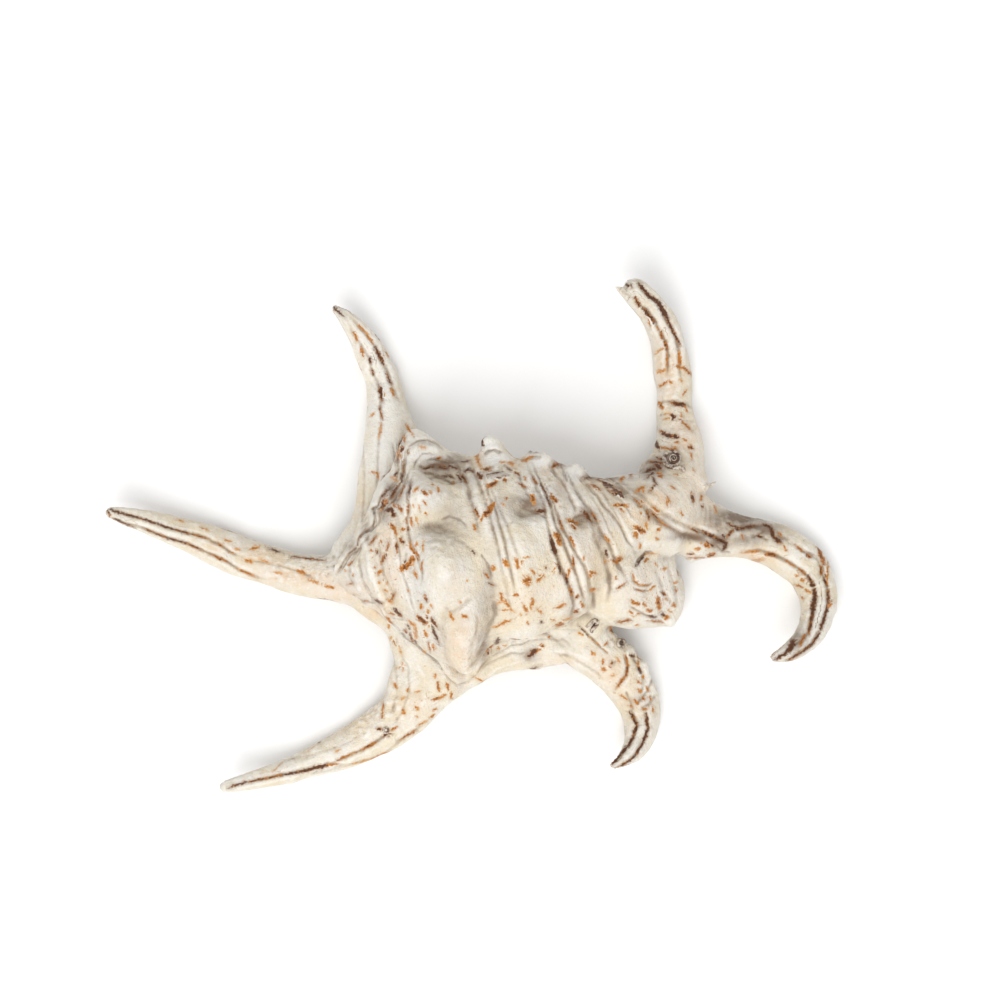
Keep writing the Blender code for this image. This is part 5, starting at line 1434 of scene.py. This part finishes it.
def wear_with_painted_shade_and_light(tree, colour, place, middle, shade):
    """Painted shade in hollows, creases, shade areas and folds, white wear and painted light, the mouth's
    pink.
    """
    crease = stored(tree, "crease")
    # Painted shade: the hollows and the creases are darkened with brown.
    colour = blended(tree, times(tree, shade, 0.9), colour, PAINTED_SHADE_BROWN)
    colour = blended(tree, times(tree, steps(tree, crease, 0.02, 0.19), 0.5), colour, PAINTED_SHADE_BROWN)
    colour = blended(tree, times(tree, steps(tree, crease, -0.02, -0.14), 0.5), colour, WORN_WHITE)
    # White worn knobs and ridges, and painted light on slopes that lie in shade.
    colour = blended(tree, stored(tree, "worn"), colour, WORN_WHITE)
    # The soft areas of painted shade, with some brown dirt, are darkened towards brown.
    painted_shade_and_dirt = times(tree, stored(tree, "painted_shade_and_dirt"), steps(tree, middle, 0.3, 0.6, 0.8, 1.25), True)
    colour = blended(tree, painted_shade_and_dirt, colour, PAINTED_SHADE_BROWN)
    # Painted shade along the folds: a dark brown line beside each fold's middle.
    fold = parts_of(tree, stored_three(tree, "fold"))
    aside = maths(tree, "ABSOLUTE", plus(tree, fold["X"], swing(tree, place, 1500, 5, 0.7, 3.0)))
    aside = plus(tree, aside, unlike(tree, "fold_mark"))
    in_fold = steps(tree, maths(tree, "DIVIDE", aside, fold["Y"]), 1.15, 0.0)
    fold_shade = times(tree, times(tree, in_fold, fold["Z"]), steps(tree, middle, 0.3, 0.6, 0.35, 1.0))
    colour = blended(tree, fold_shade, colour, SHADE_AND_HALO_BROWN)
    return blended(tree, stored(tree, "mouth"), colour, MOUTH_PINK)


print("where marks differ, a line or a fleck is pushed up to", MARK_GAP, "pixels away")

# %% [markdown]
# A fleck is an oval in the frame that its points keep. Two swings of noise bend the oval, a finer one
# frays its edge, and the deeper inside and the darker the fleck, the darker its brown. A soft halo lies
# round it, as the colour of a real shell bleeds into the layers beside it.
# %% The flecks' colour
PALE_RUST = (0.68, 0.34, 0.10)
RUST = (0.46, 0.165, 0.024)
DARK_BROWN = (0.105, 0.037, 0.014)


def oval(tree, along, across):
    """1 at the fleck's middle, 0 on its edge and less outside: an oval with blunt ends."""
    along = maths(tree, "POWER", maths(tree, "ABSOLUTE", along), 3.0)
    across = maths(tree, "POWER", maths(tree, "ABSOLUTE", across), 2.0)
    return minus(tree, 1.0, maths(tree, "SQRT", plus(tree, along, across)))


def with_flecks(tree, colour, place):
    """The flecks over the colour, and the fine speckles between them."""
    spot = parts_of(tree, stored_three(tree, "fleck_spot"))
    size = parts_of(tree, stored_three(tree, "fleck_size"))
    tone = size["Z"]
    length = plus(tree, spot["X"], swing(tree, place, 1050, 2, 0.55, 7.0))
    swirl = minus(tree, noise(tree, stretched(tree, place, (1.1, 1.2, -1.3)), 1050, 2), 0.5)
    width = plus(tree, spot["Y"], times(tree, swirl, times(tree, size["Y"], 2.6)))
    along = maths(tree, "DIVIDE", length, plus(tree, size["X"], size["Y"]))
    inside = oval(tree, along, maths(tree, "DIVIDE", width, size["Y"]))
    depth = plus(tree, times(tree, inside, size["Y"]), swing(tree, place, 2100, 5, 0.8, 6.5))
    depth = minus(tree, depth, unlike(tree, "fleck_mark"))
    richer = plus(tree, depth, times(tree, maths(tree, "POWER", tone, 1.8), 3.9))
    richer = plus(tree, richer, swing(tree, place, 1300, 4, 0.7, 7.0))
    pigment = blended(tree, steps(tree, richer, 0.0, 1.9), PALE_RUST, RUST)
    pigment = blended(tree, steps(tree, richer, 2.1, 3.7), pigment, DARK_BROWN)
    halo = times(tree, steps(tree, depth, -3.4, 0.2), steps(tree, tone, 0.2, 1.0, 0.10, 0.4))
    colour = blended(tree, halo, colour, SHADE_AND_HALO_BROWN)
    cover = times(tree, steps(tree, depth, -0.8, 0.6), steps(tree, tone, 0.0, 0.3, 0.6, 1.0))
    colour = blended(tree, cover, colour, pigment)
    specks = steps(tree, noise(tree, place, 1150, 2, 0.4), 0.66, 0.72)
    return blended(tree, times(tree, stored(tree, "speckled"), specks), colour, RUST)


print("flecks go from", PALE_RUST, "to", DARK_BROWN)

# %% [markdown]
# Growth lines and fine threads are too small for the mesh, so they are a bump, which runs along the
# stored coordinates: round the turns, and along the fingers. The shell is duller in its hollows, and
# only the mouth has some gloss. A little light passes under the skin, as it does in real shell.
# %% The shell's material
BUMP_HEIGHT = 0.7 * MM
UNDER_SKIN = (1.5 * MM, 1.0 * MM, 0.7 * MM)


def growth_bump(tree, place, limb_lines):
    """The direction of the skin with its growth lines, threads and grain."""
    on_finger = stored(tree, "on_finger")
    turn_threads = noise(tree, stretched(tree, stored_three(tree, "turn_grain"), (2.4, 0.12, 1)), 1.6, 3)
    threads = times(tree, turn_threads, minus(tree, 1.0, on_finger))
    grain = plus(tree, threads, times(tree, limb_lines, on_finger))
    fine = noise(tree, place, FINE, 4, 0.65)
    height = plus(tree, times(tree, grain, 0.3), times(tree, fine, 0.5))
    height = plus(tree, height, times(tree, noise(tree, place, 800, 3, 0.6), 0.8))
    return node(tree, "Bump", Strength=0.9, Distance=BUMP_HEIGHT, Height=height).outputs["Normal"]


def shell_material():
    """The whole recipe, from the ground colour to the bump."""
    made, tree, surface, place = new_material("grown_shell")
    middle = noise(tree, place, MIDDLE, 4)
    limb_lines = noise(tree, stretched(tree, stored_three(tree, "limb_grain"), (1.3, 0.10, 1)), 1.8, 4)
    # Painted shade from the hollows; it also makes the hollows duller.
    shade = steps(tree, stored(tree, "hollow"), 0.05, 1.3)
    shade = times(tree, shade, steps(tree, middle, 0.2, 0.7, 0.5, 1.0))
    colour = ground_colour(tree, place, middle, limb_lines)
    colour = wear_with_painted_shade_and_light(tree, colour, place, middle, shade)
    feed(tree, surface.inputs["Base Color"], with_flecks(tree, colour, place))
    dull = plus(tree, steps(tree, middle, 0.3, 0.7, 0.36, 0.58), times(tree, shade, 0.2))
    rough = minus(tree, dull, times(tree, stored(tree, "mouth"), 0.2), True)
    feed(tree, surface.inputs["Roughness"], rough)
    feed(tree, surface.inputs["Normal"], growth_bump(tree, place, limb_lines))
    surface.inputs["Specular IOR Level"].default_value = 0.3
    surface.inputs["Subsurface Weight"].default_value = 0.08
    surface.inputs["Subsurface Radius"].default_value = UNDER_SKIN
    return made


coat(shell, shell_material())
print("the shell's material has", len(shell.data.materials[0].node_tree.nodes), "nodes")

# %% [markdown]
# Small sea creatures that cement themselves to shells left their tubes here. A tube is a curve with a
# round bevel, laid on the skin and turned into a mesh. Its pixels are in the photograph, so each of its
# points is looked up: the skin's point that the camera sees there, then up by a share of the tube's width.
# %% Helpers for tubes
SEEN = 0.3
TUBE_ORDER = 4
SPIRAL_POINTS = 12


def skin_place(x, y):
    """The skin's point that the camera sees nearest to this pixel, in millimetres."""
    away = np.hypot(*(places - (x, y)).T)
    near = np.flatnonzero((away < max(2.0, away[facing > SEEN].min() + 1.5)) & (facing > SEEN))
    return points[near[np.argmax(points[near] @ TO_CAMERA)]]


def tube(name, pixels, widths, lift):
    """A tube through pixels, with its width in millimetres at each of them, or at its two ends."""
    curve = bpy.data.curves.new(name, "CURVE")
    curve.dimensions = "3D"
    curve.bevel_depth = 1.0 * MM
    curve.bevel_resolution = 3
    curve.use_fill_caps = True
    line = curve.splines.new("NURBS")
    line.points.add(len(pixels) - 1)
    line.order_u = TUBE_ORDER
    line.use_endpoint_u = True
    if len(widths) == 2:
        widths = np.linspace(*widths, len(pixels))
    for spot, (x, y), wide in zip(line.points, pixels, widths):
        ground = skin_place(round(x), round(y))
        offset = (np.array((x, y)) - picture_of(ground[None])[0]) * PIXEL / MM
        spot.co = (*((ground + (offset[0], -offset[1], lift * wide)) * MM), 1.0)
        spot.radius = wide
    made = bpy.data.objects.new(name, curve)
    bpy.context.scene.collection.objects.link(made)
    only(made)
    bpy.ops.object.convert(target="MESH")
    bpy.ops.object.shade_smooth()
    return bpy.context.object


def spiral(x, y, outer, inner, turns, start_degrees):
    """Pixels of a spiral that winds inwards round x, y."""
    pixels = []
    count = int(turns * SPIRAL_POINTS)
    for k in range(count + 1):
        share = k / count
        angle = math.radians(start_degrees + 360 * turns * share)
        reach = outer + (inner - outer) * share
        pixels.append((x + reach * math.cos(angle), y + reach * math.sin(angle)))
    return pixels


print("a ring of one turn has", len(spiral(0, 0, 2, 2, 1, 0)), "points")

# %% [markdown]
# The tubes are chalky, greyish white with brown between the turns. The coil is brown and nearly black,
# and the same dark material is put in the holes of the tubes as painted shade. The thorn and the flake
# are shell, so they are paler.
# %% The tubes' materials
TUBE_WHITE = (0.60, 0.53, 0.44)
TUBE_BROWN = (0.11, 0.048, 0.022)
TUBE_BLACK = (0.045, 0.019, 0.009)
GROWTH_PALE = (0.78, 0.71, 0.60)
GROWTH_GREY = (0.50, 0.43, 0.34)
TUBE_GRAIN = 0.2 * MM


def tube_material(name, light, dark):
    """Blotches of two colours with a fine grain."""
    made, tree, surface, place = new_material(name)
    blotches = noise(tree, place, 900, 4, 0.6)
    grains = noise(tree, place, 4200, 3, 0.6)
    bump = node(tree, "Bump", Strength=0.6, Distance=TUBE_GRAIN, Height=grains)
    feed(tree, surface.inputs["Base Color"], blended(tree, steps(tree, blotches, 0.4, 0.66), light, dark))
    feed(tree, surface.inputs["Roughness"], steps(tree, grains, 0.3, 0.7, 0.5, 0.8))
    feed(tree, surface.inputs["Normal"], bump.outputs["Normal"])
    return made


worm_tube = tube_material("worm_tube", TUBE_WHITE, TUBE_BROWN)
# The dark material serves the real coil and, as painted shade, the holes of the tubes.
dark_coil_and_hole_shade = tube_material("dark_coil_and_hole_shade", TUBE_BROWN, TUBE_BLACK)
pale_growth = tube_material("pale_growth", GROWTH_PALE, GROWTH_GREY)
print("made", worm_tube.name, dark_coil_and_hole_shade.name, pale_growth.name)

# %% [markdown]
# At the upper right finger's root a tube winds round a dark coil, with a pale thread between the turns.
# A ring with a dark hole and a twisted bit of tube sit on the lip's edge, and two small rings on fingers.
# The dark pieces in the two holes are painted shade.
# The thorn stands beside the canal, and the flake is the chipped end of the upper right finger.
# %% Tubes, a thorn and a flake
STEM = [(684, 472), (684, 469), (681, 467), (678, 468.5)]
TWIST = [
    (586, 627.5), (589, 624.5), (592, 621.5), (596, 620), (598, 622.5), (596.5, 626), (593, 629),
    (590, 631.5), (593, 632.5),
]
TWIST_WIDTHS = (0.3, 0.42, 0.46, 0.46, 0.46, 0.46, 0.44, 0.4, 0.26)
HOLE_SHADE = [(620.6, 642.8), (621.6, 643.4), (622.4, 643.8)]
TWIST_HOLE_SHADE = [(591.5, 628.5), (593.5, 626), (595.5, 623)]
THORN = [(704.5, 488.5), (708.5, 486.4), (712, 484.2), (716, 481.6)]
FLAKE = [(631, 297), (625, 291.5), (620, 289), (615.2, 286.8)]
rings = spiral(672.0, 459.0, 8.6, 7.0, 1.3, 100)
ring_widths = (0.4, 0.55, 0.55, 0.5, *np.linspace(0.5, 0.34, len(rings)))
growths = (
    ("tube_rings", STEM + rings, ring_widths, 0.15, worm_tube),
    ("tube_coil", spiral(673.6, 458.4, 5.2, 0.9, 1.9, 300), (0.44, 0.24), 0.6, dark_coil_and_hole_shade),
    ("tube_thread", spiral(673.6, 458.4, 4.5, 0.8, 1.7, 120), (0.17, 0.11), 3.7, worm_tube),
    # The two holes: dark pieces of painted shade inside the ring and the twist.
    ("tube_hole_shade", HOLE_SHADE, (0.5, 0.62, 0.5), 0.55, dark_coil_and_hole_shade),
    ("twist_hole_shade", TWIST_HOLE_SHADE, (0.2, 0.34, 0.2), 0.5, dark_coil_and_hole_shade),
    ("tube_ring", spiral(621.4, 643.2, 3.9, 3.6, 1.15, 200), (0.34, 0.34), 0.7, worm_tube),
    ("tube_twist", TWIST, TWIST_WIDTHS, 0.5, worm_tube),
    ("tube_small_ring", spiral(386, 730.3, 2.7, 2.5, 1.1, 60), (0.3, 0.3), 0.3, worm_tube),
    ("tube_tip_ring", spiral(628.4, 285.8, 2.5, 2.4, 1.05, 0), (0.3, 0.3), 0.1, worm_tube),
    ("thorn", THORN, (0.7, 0.68, 0.45, 0.08), -0.4, pale_growth),
    ("spike", FLAKE, (1.3, 1.45, 0.85, 0.08), -0.6, pale_growth),
)
for name, pixels, widths, lift, look in growths:
    thing = tube(name, pixels, widths, lift)
    coat(thing, look)
    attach(thing, "root")
    print(name, "is", round(max(thing.dimensions) / MM, 1), "mm long")

# %% [markdown]
# The shell lies on a plain pale table in soft light. A large lamp stands low on the lip's side, as in
# the photograph, where the far side of each hump is in shade, and an even white sky fills the rest.
# %% Table and light
TABLE_SIDE = 3.0
TABLE_WHITE = (0.93, 0.93, 0.93, 1)
LAMP_PLACE = (-0.10, -0.50, 0.86)
LAMP_SIDE, LAMP_WATTS = 0.6, 6.0
SKY_STRENGTH = 0.78
SHELL_CENTRE = Vector((0, 0, 0.02))

bpy.ops.object.select_all(action="DESELECT")
bpy.ops.mesh.primitive_plane_add(size=TABLE_SIDE, location=(0, 0, 0))
table = bpy.context.object
table.name = "table"
paper = bpy.data.materials.new("table_paper")
paper.use_nodes = True
paper.node_tree.nodes["Principled BSDF"].inputs["Base Color"].default_value = TABLE_WHITE
paper.node_tree.nodes["Principled BSDF"].inputs["Roughness"].default_value = 0.8
table.data.materials.append(paper)

lamp = bpy.data.objects.new("window_light", bpy.data.lights.new("window_light", "AREA"))
bpy.context.scene.collection.objects.link(lamp)
lamp.location = LAMP_PLACE
lamp.rotation_euler = (SHELL_CENTRE - Vector(LAMP_PLACE)).to_track_quat("-Z", "Y").to_euler()
lamp.data.size = LAMP_SIDE
lamp.data.energy = LAMP_WATTS

sky = bpy.data.worlds.new("sky")
bpy.context.scene.world = sky
sky.use_nodes = True
sky.node_tree.nodes["Background"].inputs["Color"].default_value = (1, 1, 1, 1)
sky.node_tree.nodes["Background"].inputs["Strength"].default_value = SKY_STRENGTH
bpy.context.scene.view_settings.view_transform = "Standard"
print("table, one lamp and the sky are in")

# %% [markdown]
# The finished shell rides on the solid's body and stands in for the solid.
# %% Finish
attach(shell, "root")
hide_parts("shell")
